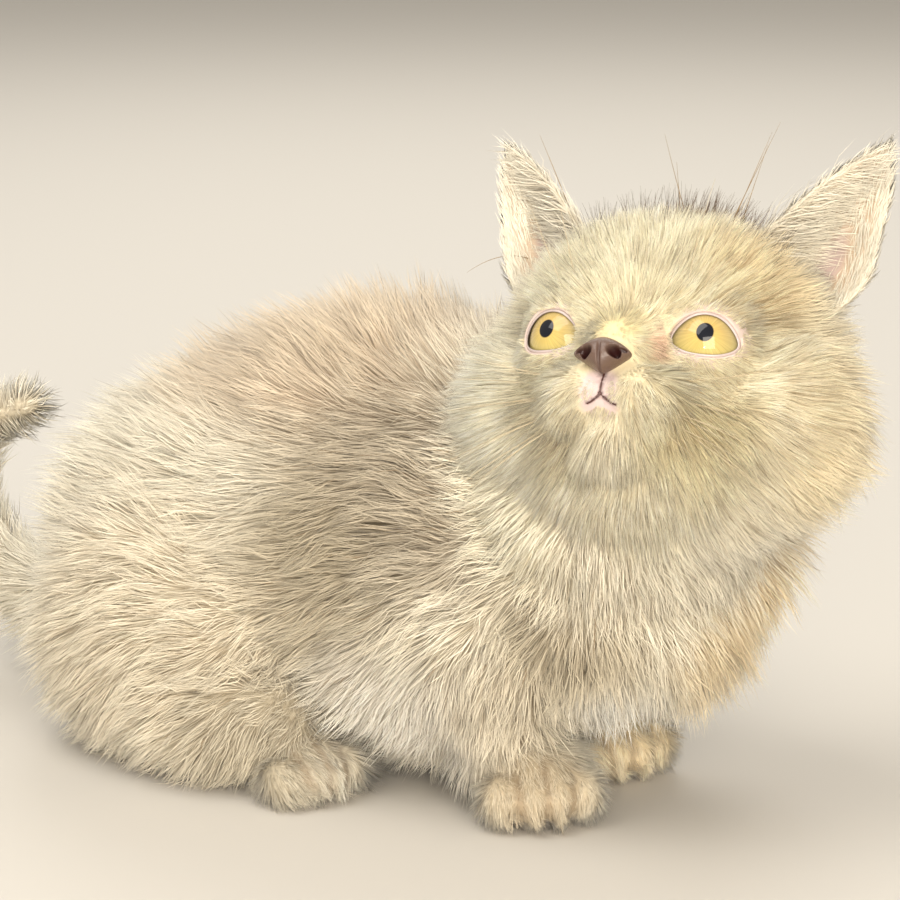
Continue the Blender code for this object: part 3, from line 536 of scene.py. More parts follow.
@dataclass
class Body:
    """The whole cat's flesh as named masses, and the lie of the coat over it."""

    head: Head
    tail: Tail
    limbs: Limbs
    nape: Vector = field(default_factory=lambda: Vector((56.0, -2.0, 96.0)) * MM)
    blend: float = 3.0 * MM
    depth_blend: float = 5.0 * MM
    swirls: tuple[tuple[float, float], ...] = ((34 * MM, 0.42), (13 * MM, 0.34), (6 * MM, 0.26))
    swirl_seed: int = 3

    def masses(self) -> list[tuple[Zone, str, list[Blob]]]:
        """Every mass with the zone and the side that it belongs to."""
        made = [
            (Zone.TRUNK, "", trunk_blobs()),
            (Zone.NECK, "", [Blob.at((59, -7, 68), (24, 25, 22), 8)]),
            (Zone.SKULL, "", self.head.large_blobs()),
            (Zone.MUZZLE, "", self.head.small_blobs()),
            (Zone.TAIL, "", self.tail.blobs()),
        ]
        for name in SIDES:
            made.append((Zone.THIGH, name, self.limbs.thigh_blobs(name)))
            made.append((Zone.FORELEG, name, self.limbs.foreleg_blobs(name)))
            made.append((Zone.PAW, name, self.limbs.paw_blobs(name)))
            made.append((Zone.FOOT, name, self.limbs.foot_blobs(name)))
        return made

    def lie(self, zone: Zone, name: str, points: np.ndarray) -> np.ndarray:
        """The way the coat runs in one zone, before it is laid along the skin.

        Args:
            zone: The part of the body.
            name: Its side, or nothing.
            points: Rows of places on the skin.

        Returns:
            One direction for each row.
        """
        if zone in (Zone.SKULL, Zone.MUZZLE):
            return unit(points - np.array(self.head.frame() @ self.head.whorl))
        if zone is Zone.TAIL:
            return unit(self.tail.direction(points))
        if zone is Zone.PAW:
            return unit(np.array(self.limbs.paw_place(name).to_3x3() @ Vector((1, 0, -0.5))) + points * 0)
        if zone is Zone.FOOT:
            return unit(np.array(self.limbs.foot_place(name).to_3x3() @ Vector((1, 0, -0.4))) + points * 0)
        if zone is Zone.FORELEG:
            fall = Vector(self.limbs.paw[name]) - Vector(self.limbs.shoulder[name]) - Vector((6, 0, 8))
            return unit(np.array(fall) + points * 0)
        if zone is Zone.NECK:
            return unit(points - np.array(self.head.centre) + np.array((0.0, 0.0, -20 * MM)))
        away = unit(points - np.array(self.nape))
        sag = smooth(58 * MM, 12 * MM, points[:, 2]) * 1.5
        chest = smooth(40 * MM, 66 * MM, points[:, 0])
        back = np.stack((-np.ones(len(points)), np.zeros(len(points)), 0.05 - sag), axis=1)
        front = np.stack((np.full(len(points), 0.1), np.zeros(len(points)), -np.ones(len(points))), axis=1)
        return unit(away * 0.7 + mix(unit(back), front, chest))

    def swirl(self, points: np.ndarray) -> np.ndarray:
        """How far the coat turns aside from its lie at each point, in radians, in soft uneven waves."""
        rng = np.random.default_rng(self.swirl_seed)
        turn = np.zeros(len(points))
        for length, amount in self.swirls:
            for _ in range(4):
                way = unit(rng.normal(0, 1, 3)) * 2 * math.pi / (length * rng.uniform(0.7, 1.4))
                turn += amount / 2 * np.sin(points @ way + rng.uniform(0, 2 * math.pi))
        return turn

    def survey(self, points: np.ndarray) -> "Survey":
        """Reads zones, coat depth, lie and growth at these points of the skin.

        Args:
            points: Rows of places on or near the skin.

        Returns:
            What the coat does at each row.
        """
        masses = self.masses()
        far = np.empty((len(masses), len(points)))
        coats, nears = [], []
        for row, (_, _, blobs) in enumerate(masses):
            reach = np.array([blob.distance(points) for blob in blobs])
            far[row] = reach.min(axis=0)
            nears.append(reach)
            coats += [blob.coat for blob in blobs]
        share = np.exp(-(far - far.min(axis=0)) / self.blend)
        share /= share.sum(axis=0)
        reach = np.concatenate(nears)
        weight = np.exp(-(reach - reach.min(axis=0)) / self.depth_blend)
        depth = (weight * np.array(coats)[:, None]).sum(axis=0) / weight.sum(axis=0)
        lie = np.zeros((len(points), 3))
        growth = np.zeros((len(points), 5))
        zones = {zone: np.zeros(len(points)) for zone in Zone}
        for row, (zone, name, _) in enumerate(masses):
            lie += share[row][:, None] * self.lie(zone, name, points)
            how = GROWTH[zone]
            growth += share[row][:, None] * np.array((how.density, how.slant, how.width, how.clump, how.gather))
            zones[zone] += share[row]
        return Survey(depth, unit(lie), growth, zones)


@dataclass
class Survey:
    """What the coat does at rows of points: its depth, its lie, its growth and the zones it is in."""

    depth: np.ndarray
    lie: np.ndarray
    growth: np.ndarray
    zones: dict[Zone, np.ndarray]


@dataclass(frozen=True)
class Patch:
    """One soft-edged marking or patch of painted light: an ellipsoid in millimetres, in the body's or the head's frame.
    """

    on_head: bool
    centre: tuple[float, float, float]
    radii: tuple[float, float, float]
    tip: str
    root: str
    strength: float = 1.0
    both_sides: bool = False


BODY_PATCHES = (
    Patch(False, (-14, -6, 86), (48, 32, 18), "#DCC8AC", "#AC947C", 0.8),
    Patch(False, (25, -30, 71), (26, 18, 23), "#C2B59E", "#8E806E", 0.9, True),
    Patch(False, (8, -34, 48), (16, 14, 22), "#C6B99F", "#8F816B", 0.8, True),
    Patch(False, (-34, -34, 34), (36, 22, 30), "#F5EAD3", "#C1AE8F", 0.8, True),
    Patch(False, (-8, -36, 14), (16, 14, 12), "#D9CFB8", "#9C8F78", 0.75, True),
    # Painted light: a paler patch on the low belly and low shoulders of both sides, standing in for light where they
    # lie in shade.
    Patch(False, (22, -31, 20), (20, 14, 18), "#FFFAF0", "#DCD0B8", 0.85, True),
    Patch(False, (60, -28, 48), (15, 12, 18), "#D0C4AA", "#958771", 0.85),
    # Painted light: a warm, bright patch on the front of the breast towards the cat's left, standing in for warm light
    # falling there.
    Patch(False, (80, 6, 44), (15, 20, 28), "#FFE9BE", "#E0BE90", 0.9),
    Patch(False, (62, -16, 25), (13, 12, 10), "#FFFCF4", "#F0E6D2", 0.9),
    Patch(False, (44, -26, 26), (14, 12, 16), "#E7DCC4", "#A29178", 0.6, True),
    # Painted light: the left front paw is made paler and warmer, standing in for strong light on a paw that lies in the
    # breast's shade.
    Patch(False, (56, 12, 8), (18, 14, 16), "#FFF0D2", "#F0D9AC", 0.95),
    Patch(False, (51, -25, 8), (13, 10, 9), "#EBDDC2", "#B4A080", 0.8),
)
HEAD_PATCHES = (
    Patch(True, (20, 0, 8), (24, 34, 26), "#FAEFCC", "#CBB88E", 0.9),
    Patch(True, (14, 21, 20), (13, 12, 12), "#F9E2B4", "#D4B482", 0.7),
    Patch(True, (-1, 0, 35), (12, 26, 9), "#BFAA84", "#66543B", 0.85),
    Patch(True, (30, 0, 3.4), (5, 4.6, 2.6), "#F8E8B6", "#DCC790", 0.8),
    Patch(True, (20, 15, -15), (13, 12, 10), "#F6E7B8", "#A18B60", 0.75),
    Patch(True, (20, -13, -14), (12, 10, 10), "#F9EECA", "#B8A276", 0.75),
    Patch(True, (6, 26, -22), (18, 14, 14), "#F7EED6", "#BBA985", 0.7),
    # Painted light: the right jaw and cheek are made nearly white, standing in for light on the side turned away from
    # the strongest lamp.
    Patch(True, (8, -24, -20), (18, 13, 22), "#FFF8E2", "#E8DAB6", 0.88),
    Patch(True, (18, -28, -9), (11, 9, 13), "#FFF9E2", "#F2E4BE", 0.92),
    Patch(True, (16, 0, -24), (12, 12, 10), "#FFF6DC", "#D6C69E", 0.85),
    # Painted light over the cream coat's own colour: a warm, pale patch on the left cheek stands in for warm light from
    # that side.
    Patch(True, (2, 34, -8), (20, 11, 24), "#FFEFCB", "#E4CA9C", 0.85),
    Patch(True, (25.5, 6.8, 1.6), (3.4, 1.9, 3.2), "#E9C3A8", "#D0A088", 0.75),
)


@dataclass
class MarkingsAndPaintedLight:
    """The coat's colours, the same for the tufts and for the skin under them, with patches of painted light and painted
    shade in the toes' creases.
    """

    head: Head
    limbs: Limbs
    tip: str = "#F8F0DC"
    root: str = "#C2B49A"
    bare: str = "#CBB6B3"
    painted_crease_shade: str = "#8A7154"
    fleck: str = "#7D6240"
    fleck_places: tuple[tuple[tuple[float, ...], tuple[float, ...], float], ...] = (
        ((-1, 0, 34), (13, 26, 10), 0.5), ((14, 21, 10), (7, 7, 6), 0.45), ((22, 14, -9), (10, 9, 9), 0.42),
        ((22, -12, -12), (9, 8, 9), 0.36), ((27, 9, -1), (5, 4, 5), 0.4),
        ((18, 0, -22), (14, 18, 9), 0.22),
    )

    def colours(self, points: np.ndarray) -> tuple[np.ndarray, np.ndarray]:
        """The colours of the coat's tips and roots, with painted light in some patches and painted shade in the creases
        between the toes.

        Args:
            points: Rows of places on the skin.

        Returns:
            Rows of tip colours, and rows of root colours.
        """
        tips = np.tile(linear(self.tip), (len(points), 1))
        roots = np.tile(linear(self.root), (len(points), 1))
        on_head = apply(self.head.frame().inverted(), points)
        from_head = np.linalg.norm(on_head, axis=1)
        near_head = smooth(62 * MM, 48 * MM, from_head)
        off_head = smooth(38 * MM, 50 * MM, from_head)
        for patch in BODY_PATCHES + HEAD_PATCHES:
            where = on_head if patch.on_head else points
            for side in ((1.0, -1.0) if patch.both_sides else (1.0,)):
                centre = np.array(patch.centre) * np.array((1.0, side, 1.0)) * MM
                far = np.linalg.norm((where - centre) / (np.array(patch.radii) * MM), axis=1)
                weight = patch.strength * smooth(1.35, 0.55, far)
                weight = weight * (near_head if patch.on_head else off_head)
                tips = mix(tips, linear(patch.tip), weight)
                roots = mix(roots, linear(patch.root), weight)
        # Painted shade: the coat is darkened towards brown in the creases between the toes.
        creases = self.limbs.creases(points) * 0.5
        return mix(tips, linear(self.painted_crease_shade), creases), mix(roots, linear(self.painted_crease_shade), creases)

    def flecks(self, points: np.ndarray) -> np.ndarray:
        """The share of brown hairs among the pale ones: most on the crown, the brows and the whisker pads."""
        on_head = apply(self.head.frame().inverted(), points)
        share = np.where(np.linalg.norm(on_head, axis=1) < 48 * MM, 0.08, 0.05)
        for centre, radii, most in self.fleck_places:
            far = np.linalg.norm((on_head - np.array(centre) * MM) / (np.array(radii) * MM), axis=1)
            share = np.maximum(share, most * smooth(1.2, 0.4, far))
        return share

    def bare_share(self, points: np.ndarray) -> np.ndarray:
        """How much bare pinkish skin shows: round the lips and on the lids."""
        on_head = apply(self.head.frame().inverted(), points)
        lips = np.linalg.norm((on_head - np.array((31, -0.8, -10)) * MM) / (np.array((6, 4.2, 5.6)) * MM), axis=1)
        share = smooth(1.15, 0.75, lips)
        for side in SIDES.values():
            far = np.linalg.norm(points - np.array(self.head.eye_frame(side).translation), axis=1)
            share = np.maximum(share, smooth(self.head.eye_radius + 2.0 * MM, self.head.eye_radius + 1.1 * MM, far) * 0.8)
        return share


@dataclass(frozen=True)
class FurFinish:
    """Soft kitten wool: fine matt hairs, pale at the tip, that scatter a little light along their edges."""

    roughness: float = 0.62
    sheen: float = 0.25

    def material(self, name: str) -> bpy.types.Material:
        """The finish of one coat piece."""
        shader = Shader(name)
        colour = shader.node("ShaderNodeAttribute", attribute_name="coat")
        place = shader.node("ShaderNodeTexCoord")
        noise = shader.node(
            "ShaderNodeTexNoise",
            {"Vector": place.outputs["Object"], "Scale": 1 / (6 * MM), "Detail": 2.0, "Roughness": 0.6},
        )
        shade = shader.node(
            "ShaderNodeMapRange",
            {"Value": noise.outputs["Fac"], "From Min": 0.3, "From Max": 0.7, "To Min": 0.9, "To Max": 1.06},
        )
        tone = shader.node(
            "ShaderNodeMix", {"Factor": 1.0, "A": colour.outputs["Color"], "B": shade.outputs["Result"]},
            data_type="RGBA", blend_type="MULTIPLY",
        )
        shader.tree.links.new(colour.outputs["Color"], tone.inputs[6])
        shader.tree.links.new(shade.outputs["Result"], tone.inputs[7])
        shader.set(Base_Color=tone.outputs[2], Roughness=self.roughness, Sheen_Weight=self.sheen,
                   Sheen_Roughness=0.5, Specular_IOR_Level=0.3)
        return shader.material


@dataclass(frozen=True)
class SkinFinish:
    """Thin kitten skin under the wool: matt, faintly pebbled, pink where it is bare."""

    roughness: float = 0.6
    pebble: float = 0.5 * MM

    def material(self) -> bpy.types.Material:
        """The finish of the skin."""
        shader = Shader("kitten_skin")
        colour = shader.node("ShaderNodeAttribute", attribute_name="coat")
        place = shader.node("ShaderNodeTexCoord")
        noise = shader.node(
            "ShaderNodeTexNoise", {"Vector": place.outputs["Object"], "Scale": 1 / self.pebble, "Detail": 3.0}
        )
        bump = shader.node("ShaderNodeBump", {"Height": noise.outputs["Fac"], "Distance": 0.15 * MM, "Strength": 0.5})
        shader.set(Base_Color=colour.outputs["Color"], Roughness=self.roughness, Normal=bump.outputs["Normal"],
                   Specular_IOR_Level=0.35)
        return shader.material


@dataclass
class Skin:
    """One closed skin over the whole cat, with eye sockets and the line of the mouth."""

    body: Body
    markings_and_painted_light: MarkingsAndPaintedLight
    trunk_voxel: float = 2.2 * MM
    head_voxel: float = 1.3 * MM
    voxel: float = 1.05 * MM
    mass_rounds: int = 40
    detail_rounds: int = 6
    lid_thickness: float = 1.1 * MM
    socket_gap: float = 0.12 * MM
    groove_radius: float = 0.3 * MM
    line_radius: float = 0.2 * MM
    clear_of_floor: float = 0.1 * MM
    # The mouth's colour: the lips' dark edge, with painted shade for the mouth's grooves.
    mouth: str = "#573632"

    def smoothed(self, obj: bpy.types.Object, voxel: float, rounds: int) -> None:
        """Melts an object's overlapping parts into one smooth surface."""
        remesh = obj.modifiers.new("Skin", "REMESH")
        remesh.mode = "VOXEL"
        remesh.voxel_size = voxel
        easing = obj.modifiers.new("Smooth", "SMOOTH")
        easing.iterations = rounds
        settle(obj)

    def mass(self, blobs: list[Blob], voxel: float) -> bpy.types.Object:
        """Large masses melted together and smoothed."""
        shape = bmesh.new()
        for blob in blobs:
            blob.add_to(shape)
        obj = object_of("mass", shape)
        self.smoothed(obj, voxel, self.mass_rounds)
        return obj

    def flesh(self) -> bpy.types.Object:
        """The whole cat's flesh as one smooth closed surface, with the lids' bulges on it."""
        masses = self.body.masses()
        trunk = self.mass(masses[0][2], self.trunk_voxel)
        skull = self.mass(masses[2][2], self.head_voxel)
        shape = bmesh.new()
        for obj in (trunk, skull):
            shape.from_mesh(obj.data)
            bpy.data.objects.remove(obj)
        for zone, _, blobs in masses:
            if zone in (Zone.TRUNK, Zone.SKULL):
                continue
            for blob in blobs:
                blob.add_to(shape)
        lid = self.body.head.eye_radius + self.lid_thickness
        for side in SIDES.values():
            centre = self.body.head.eye_frame(side).to_translation()
            bmesh.ops.create_icosphere(shape, subdivisions=4, radius=lid, matrix=Matrix.Translation(centre))
        obj = object_of("skin", shape)
        self.smoothed(obj, self.voxel, self.detail_rounds)
        return obj

    def opening_tool(self, side: float) -> bpy.types.Object:
        """The almond opening between the lids, drawn out along the eye's axis."""
        shape = bmesh.new()
        outline = self.body.head.opening(48)
        radius = self.body.head.eye_radius
        near = [shape.verts.new((radius * 0.3, y, z)) for y, z in outline]
        far = [shape.verts.new((radius * 1.8, y * 1.25, z * 1.25)) for y, z in outline]
        for index in range(len(outline)):
            ahead = (index + 1) % len(outline)
            shape.faces.new((near[index], near[ahead], far[ahead], far[index]))
        shape.faces.new(near[::-1])
        shape.faces.new(far)
        bmesh.ops.recalc_face_normals(shape, faces=shape.faces)
        shape.transform(self.body.head.eye_frame(side))
        return object_of("opening", shape)

    def ball_tool(self, centre: Vector, radius: float) -> bpy.types.Object:
        """A fine ball to cut a socket with."""
        shape = bmesh.new()
        bmesh.ops.create_icosphere(shape, subdivisions=5, radius=radius, matrix=Matrix.Translation(centre))
        return object_of("socket", shape)

    def mouth_lines(self, tree: BVHTree) -> list[list[Vector]]:
        """The groove from the nose down to the lips, and the line of the mouth to each side of it.

        Args:
            tree: The skin, to lay the lines on.

        Returns:
            Three lines of points on the skin.
        """
        head = self.body.head
        place = head.frame()
        inward = (place.to_3x3() @ Vector((-1, 0, 0))).normalized()

        def on_skin(local: Vector) -> Vector:
            """The skin's point behind a point of the head's frame."""
            return tree.ray_cast(place @ (local + Vector((30 * MM, 0, 0))), inward)[0]

        start = head.nose_centre - Vector((0, 0, 1.6 * MM))
        lines = [[on_skin(start.lerp(head.lip_centre, step / 7.6)) for step in range(9)]]
        for side, half_width in zip(SIDES.values(), head.lip_half_widths):
            line = []
            for step in range(10):
                share = step / 9 * 1.08 - 0.08
                drop = head.lip_drop * (1.6 * share - 0.6 * share * share)
                line.append(on_skin(head.lip_centre + Vector((0, half_width * share * side, -drop))))
            lines.append(line)
        return lines

    def groove(self, name: str, line: list[Vector], thick: float) -> bpy.types.Object:
        """A thin closed tube along a line of the mouth, thinner towards its end.

        Args:
            name: The tube's name.
            line: The points that it follows.
            thick: Its radius where it starts.

        Returns:
            The tube.
        """
        shape = bmesh.new()
        corners = 8
        rings = []
        for index, point in enumerate(line):
            ahead = (line[min(index + 1, len(line) - 1)] - line[max(index - 1, 0)]).normalized()
            across = ahead.orthogonal().normalized()
            over = ahead.cross(across)
            radius = thick * (1.0 - 0.45 * index / (len(line) - 1))
            ring = []
            for corner in range(corners):
                angle = 2 * math.pi * corner / corners
                spoke = across * math.cos(angle) + over * math.sin(angle)
                ring.append(shape.verts.new(point + spoke * radius))
            rings.append(ring)
        for ring, following in zip(rings, rings[1:]):
            for corner in range(corners):
                ahead = (corner + 1) % corners
                shape.faces.new((ring[corner], ring[ahead], following[ahead], following[corner]))
        shape.faces.new(rings[0][::-1])
        shape.faces.new(rings[-1])
        bmesh.ops.recalc_face_normals(shape, faces=shape.faces)
        return object_of(name, shape)

    def lip_lines(self) -> list[bpy.types.Object]:
        """The dark moist line in each groove of the mouth: partly the lips' own dark edge, partly painted shade in the
        groove.
        """
        made = []
        for name, line in zip(("lip_groove", "lip_line_right", "lip_line_left"), self.lips):
            obj = self.groove(name, line, self.line_radius)
            paint(obj.data, "coat", np.tile(linear(self.mouth), (len(obj.data.vertices), 1)))
            obj.data.materials.append(LidFinish().material())
            made.append(obj)
        return made

    def build(self) -> bpy.types.Object:
        """The finished skin, still in the body's own frame.

        Returns:
            The skin, cut for the eyes and the mouth, unwrapped and coloured.
        """
        obj = self.flesh()
        head = self.body.head
        shape = bmesh.new()
        shape.from_mesh(obj.data)
        tree = BVHTree.FromBMesh(shape)
        shape.free()
        self.lips = self.mouth_lines(tree)
        for line in self.lips:
            cut(obj, self.groove("groove", line, self.groove_radius))
        for side in SIDES.values():
            cut(obj, self.opening_tool(side))
            cut(obj, self.ball_tool(head.eye_frame(side).to_translation(), head.eye_radius + self.socket_gap))
        points = vertices_of(obj.data)
        points[:, 2] = np.maximum(points[:, 2], self.clear_of_floor)
        set_vertices(obj.data, points)
        self.unwrap(obj)
        tips, roots = self.markings_and_painted_light.colours(points)
        tone = mix(roots, tips, np.full(len(points), 0.35))
        tone = mix(tone, linear(self.markings_and_painted_light.bare), self.markings_and_painted_light.bare_share(points))
        far = self.nearest(points, np.array([point for line in self.lips for point in line]))
        # Painted shade, partly the lips' own dark edge: the skin is darkened close along the mouth's grooves.
        tone = mix(tone, linear(self.mouth), smooth(0.5 * MM, 0.2 * MM, far) * 0.45)
        paint(obj.data, "coat", tone)
        obj.data.materials.clear()
        obj.data.polygons.foreach_set("material_index", np.zeros(len(obj.data.polygons), np.int32))
        obj.data.materials.append(SkinFinish().material())
        return obj

    def nearest(self, points: np.ndarray, targets: np.ndarray) -> np.ndarray:
        """The distance from each point to the nearest of a few targets."""
        best = np.full(len(points), 1.0)
        for target in targets:
            best = np.minimum(best, np.linalg.norm(points - target, axis=1))
        return best

    def unwrap(self, obj: bpy.types.Object) -> None:
        """Unwraps the skin's own shape into flat islands, in a map named OFBake."""
        obj.data.uv_layers.new(name=BAKE_MAP)
        bpy.context.view_layer.objects.active = obj
        obj.select_set(True)
        bpy.ops.object.mode_set(mode="EDIT")
        bpy.ops.mesh.select_all(action="SELECT")
        bpy.ops.uv.smart_project(angle_limit=math.radians(66), island_margin=0.002)
        bpy.ops.object.mode_set(mode="OBJECT")
        obj.select_set(False)


@dataclass
class Ground:
    """A skin as triangles that roots can be sown on."""

    points: np.ndarray
    normals: np.ndarray
    triangles: np.ndarray
    places: np.ndarray

    @classmethod
    def of(cls, obj: bpy.types.Object) -> "Ground":
        """Reads an unwrapped object's mesh."""
        mesh = obj.data
        mesh.calc_loop_triangles()
        count = len(mesh.loop_triangles)
        corners = np.empty(count * 3, np.int32)
        mesh.loop_triangles.foreach_get("vertices", corners)
        loops = np.empty(count * 3, np.int32)
        mesh.loop_triangles.foreach_get("loops", loops)
        flat = np.empty(len(mesh.loops) * 2, np.float32)
        mesh.uv_layers[BAKE_MAP].uv.foreach_get("vector", flat)
        places = flat.reshape(-1, 2)[loops].reshape(-1, 3, 2)
        return cls(vertices_of(mesh), normals_of(mesh), corners.reshape(-1, 3), places)

    def areas(self) -> np.ndarray:
        """Each triangle's area."""
        a, b, c = (self.points[self.triangles[:, corner]] for corner in range(3))
        return np.linalg.norm(np.cross(b - a, c - a), axis=1) / 2

    def sow(self, density: np.ndarray, rng: np.random.Generator) -> "Roots":
        """Sows roots over the skin.

        Args:
            density: Roots to a square metre for each triangle.
            rng: The source of all that is random.

        Returns:
            The roots, evenly spread by area and density.
        """
        expected = np.cumsum(self.areas() * density)
        count = int(expected[-1])
        marks = (np.arange(count) + rng.random(count)) * expected[-1] / max(count, 1)
        chosen = np.minimum(np.searchsorted(expected, marks), len(expected) - 1)
        first, second = rng.random(count), rng.random(count)
        over = first + second > 1
        first[over], second[over] = 1 - first[over], 1 - second[over]
        weights = np.stack((1 - first - second, first, second), axis=1)[:, :, None]
        corners = self.triangles[chosen]
        return Roots(
            (self.points[corners] * weights).sum(axis=1),
            unit((self.normals[corners] * weights).sum(axis=1)),
            (self.places[chosen] * weights).sum(axis=1),
        )


@dataclass
class Roots:
    """Where tufts grow: places, outward normals and places on the unwrapped skin."""

    points: np.ndarray
    normals: np.ndarray
    places: np.ndarray

    def keep(self, mask: np.ndarray) -> "Roots":
        """The roots for which the mask is true."""
        return Roots(self.points[mask], self.normals[mask], self.places[mask])


@dataclass
class Tufts:
    """Many tufts at once: each has a root, a lie, a length, a height, a width and two colours."""

    roots: Roots
    lie: np.ndarray
    length: np.ndarray
    height: np.ndarray
    width: np.ndarray
    tip_colour: np.ndarray
    root_colour: np.ndarray
    swing: np.ndarray | float = 0.0
    wave: float = 0.06
    scatter: float = 0.2
    uneven: float = 0.08
    lock_tone: float = 0.045
    softness: float = 0.7
    clump: float = 2.0 * MM
    gather: float = 0.5
    sink: float = 0.5 * MM
    patch: float = 0.003
    floor: float = -1.0

    def paths(self, shares: np.ndarray, rng: np.random.Generator) -> np.ndarray:
        """Each tuft's middle line, gathered into locks.

        Args:
            shares: How far along the tuft each point is, from 0 to 1.
            rng: The source of all that is random.

        Returns:
            An array of tufts by points by three.
        """
        count = len(self.length)
        normal = self.roots.normals
        along = unit(self.lie - normal * (self.lie * normal).sum(axis=1, keepdims=True))
        across = np.cross(normal, along)
        swing = self.swing + rng.normal(0, self.scatter, count)
        along = along * np.cos(swing)[:, None] + across * np.sin(swing)[:, None]
        across = np.cross(normal, along)
        reach = np.sqrt(np.maximum(self.length ** 2 - self.height ** 2, (0.2 * self.length) ** 2))
        wave = rng.normal(0, self.wave, count) * self.length
        steps = shares[None, :]
        rise = -self.sink * (1 - steps) + self.height[:, None] * (1.3 * steps - 0.3 * steps ** 2)
        run = reach[:, None] * steps ** 1.15
        side = wave[:, None] * np.sin(steps * math.pi * 1.3)
        line = self.roots.points[:, None] + along[:, None] * run[..., None]
        line = line + normal[:, None] * rise[..., None] + across[:, None] * side[..., None]
        self.lock_shade = np.zeros(count)
        for size, amount, bend, shade in (
            (self.clump, self.gather, 1.3, self.lock_tone), (2.6 * self.clump, 0.8 * self.gather, 2.0, self.lock_tone),
        ):
            leader, group = self.leaders(size)
            pull = np.clip(amount * rng.uniform(0.4, 1.25, count), 0, 0.95)
            line += pull[:, None, None] * (steps ** bend)[..., None] * (line[leader] - line)
            self.lock_shade += rng.normal(0, shade, group.max() + 1)[group]
        return line

    def leaders(self, size: float) -> tuple[np.ndarray, np.ndarray]:
        """The tuft in the middle of each tuft's lock, and the lock's number.

        Args:
            size: How far apart the locks' middles are.

        Returns:
            A row's leader, and the number of its lock.
        """
        cells = np.floor(self.roots.points / size).astype(np.int64)
        _, leaders = np.unique(cells, axis=0, return_index=True)
        tree = kdtree.KDTree(len(leaders))
        for index, leader in enumerate(leaders):
            tree.insert(self.roots.points[leader], index)
        tree.balance()
        nearest = np.array([tree.find(point)[1] for point in self.roots.points])
        return leaders[nearest], nearest

    def mesh(self, name: str, shares: tuple[float, ...], rng: np.random.Generator) -> bpy.types.Object:
        """Builds the tufts as closed three-sided tapering solids.

        Args:
            name: The piece's name.
            shares: Where the cross sections are, from the root to just before the tip.
            rng: The source of all that is random.

        Returns:
            One object of all the tufts, with its coat colours and its unwrap.
        """
        count, rings = len(self.length), len(shares)
        steps = np.array((*shares, 1.0))
        line = self.paths(steps, rng)
        if self.floor >= 0:
            line[..., 2] = np.maximum(line[..., 2], self.floor + 0.3 * MM)
        tangent = unit(np.gradient(line, axis=1))
        across = unit(np.cross(self.roots.normals[:, None], tangent))
        over = np.cross(tangent, across)
        belly = np.interp(steps, (0.0, 0.3, 0.7, 1.0), (0.75, 1.0, 0.62, 0.0))
        half = self.width[:, None] * belly[None] / 2
        spin = rng.uniform(0, 2 * math.pi, count)
        corners = []
        for corner in range(3):
            angle = spin[:, None, None] + 2 * math.pi * corner / 3
            corners.append(line + (across * np.cos(angle) + over * 0.7 * np.sin(angle)) * half[..., None])
        shell = np.stack(corners, axis=2)[:, :rings].reshape(count, rings * 3, 3)
        points = np.concatenate((shell, line[:, rings:]), axis=1)
        if self.floor >= 0:
            points[..., 2] = np.maximum(points[..., 2], self.floor + 0.05 * MM)
        per = rings * 3 + 1
        shade = (1 + rng.normal(0, self.uneven, count) + self.lock_shade)[:, None]
        # The tufts darken from tip to root: partly the wool's own paler tips, partly painted shade standing in for the
        # shadow deep in the coat.
        rooted = smooth(0.05, 0.8, np.repeat(steps, [3] * rings + [1]))
        colour = mix(self.root_colour[:, None], self.tip_colour[:, None], np.tile(rooted, (count, 1)))
        colour = np.clip(colour * shade[..., None], 0, 1)
        ring_at = np.repeat(steps, [3] * rings + [1]) - 0.5
        corner_at = np.array([0.0, 0.5, 1.0] * rings + [0.5]) - 0.5
        spread = np.stack((ring_at, corner_at), axis=1) * self.patch
        places = np.clip(self.roots.places[:, None] + spread[None], 0.0, 1.0)
        faces = self.template(rings)
        base = np.arange(count, dtype=np.int32)[:, None] * per
        loops = (base + np.concatenate([np.array(face) for face in faces])[None]).ravel()
        sizes = np.tile([len(face) for face in faces], count)
        mesh = bpy.data.meshes.new(name)
        mesh.vertices.add(count * per)
        mesh.vertices.foreach_set("co", points.astype(np.float32).ravel())
        mesh.loops.add(len(loops))
        mesh.loops.foreach_set("vertex_index", loops.astype(np.int32))
        mesh.polygons.add(len(sizes))
        mesh.polygons.foreach_set("loop_start", (np.cumsum(sizes) - sizes).astype(np.int32))
        mesh.update(calc_edges=True)
        layer = mesh.uv_layers.new(name=BAKE_MAP)
        layer.uv.foreach_set("vector", places.reshape(-1, 2)[loops].astype(np.float32).ravel())
        paint(mesh, "coat", colour.reshape(-1, 3))
        middle = np.repeat(line, [3] * rings + [1], axis=1)
        outward = unit(points - middle + tangent[:, -1:] * 1e-9)
        soft = unit(outward * (1 - self.softness) + self.roots.normals[:, None] * self.softness)
        mesh.shade_smooth()
        mesh.normals_split_custom_set_from_vertices(soft.reshape(-1, 3).astype(np.float32))
        return new_object(name, mesh)

    def template(self, rings: int) -> list[tuple[int, ...]]:
        """One tuft's faces, turned outwards."""
        faces: list[tuple[int, ...]] = []
        for ring in range(rings - 1):
            low, high = ring * 3, ring * 3 + 3
            for corner in range(3):
                ahead = (corner + 1) % 3
                faces.append((low + corner, low + ahead, high + ahead, high + corner))
        last, tip = rings * 3 - 3, rings * 3
        for corner in range(3):
            faces.append((last + corner, last + (corner + 1) % 3, tip))
        faces.append((2, 1, 0))
        return faces


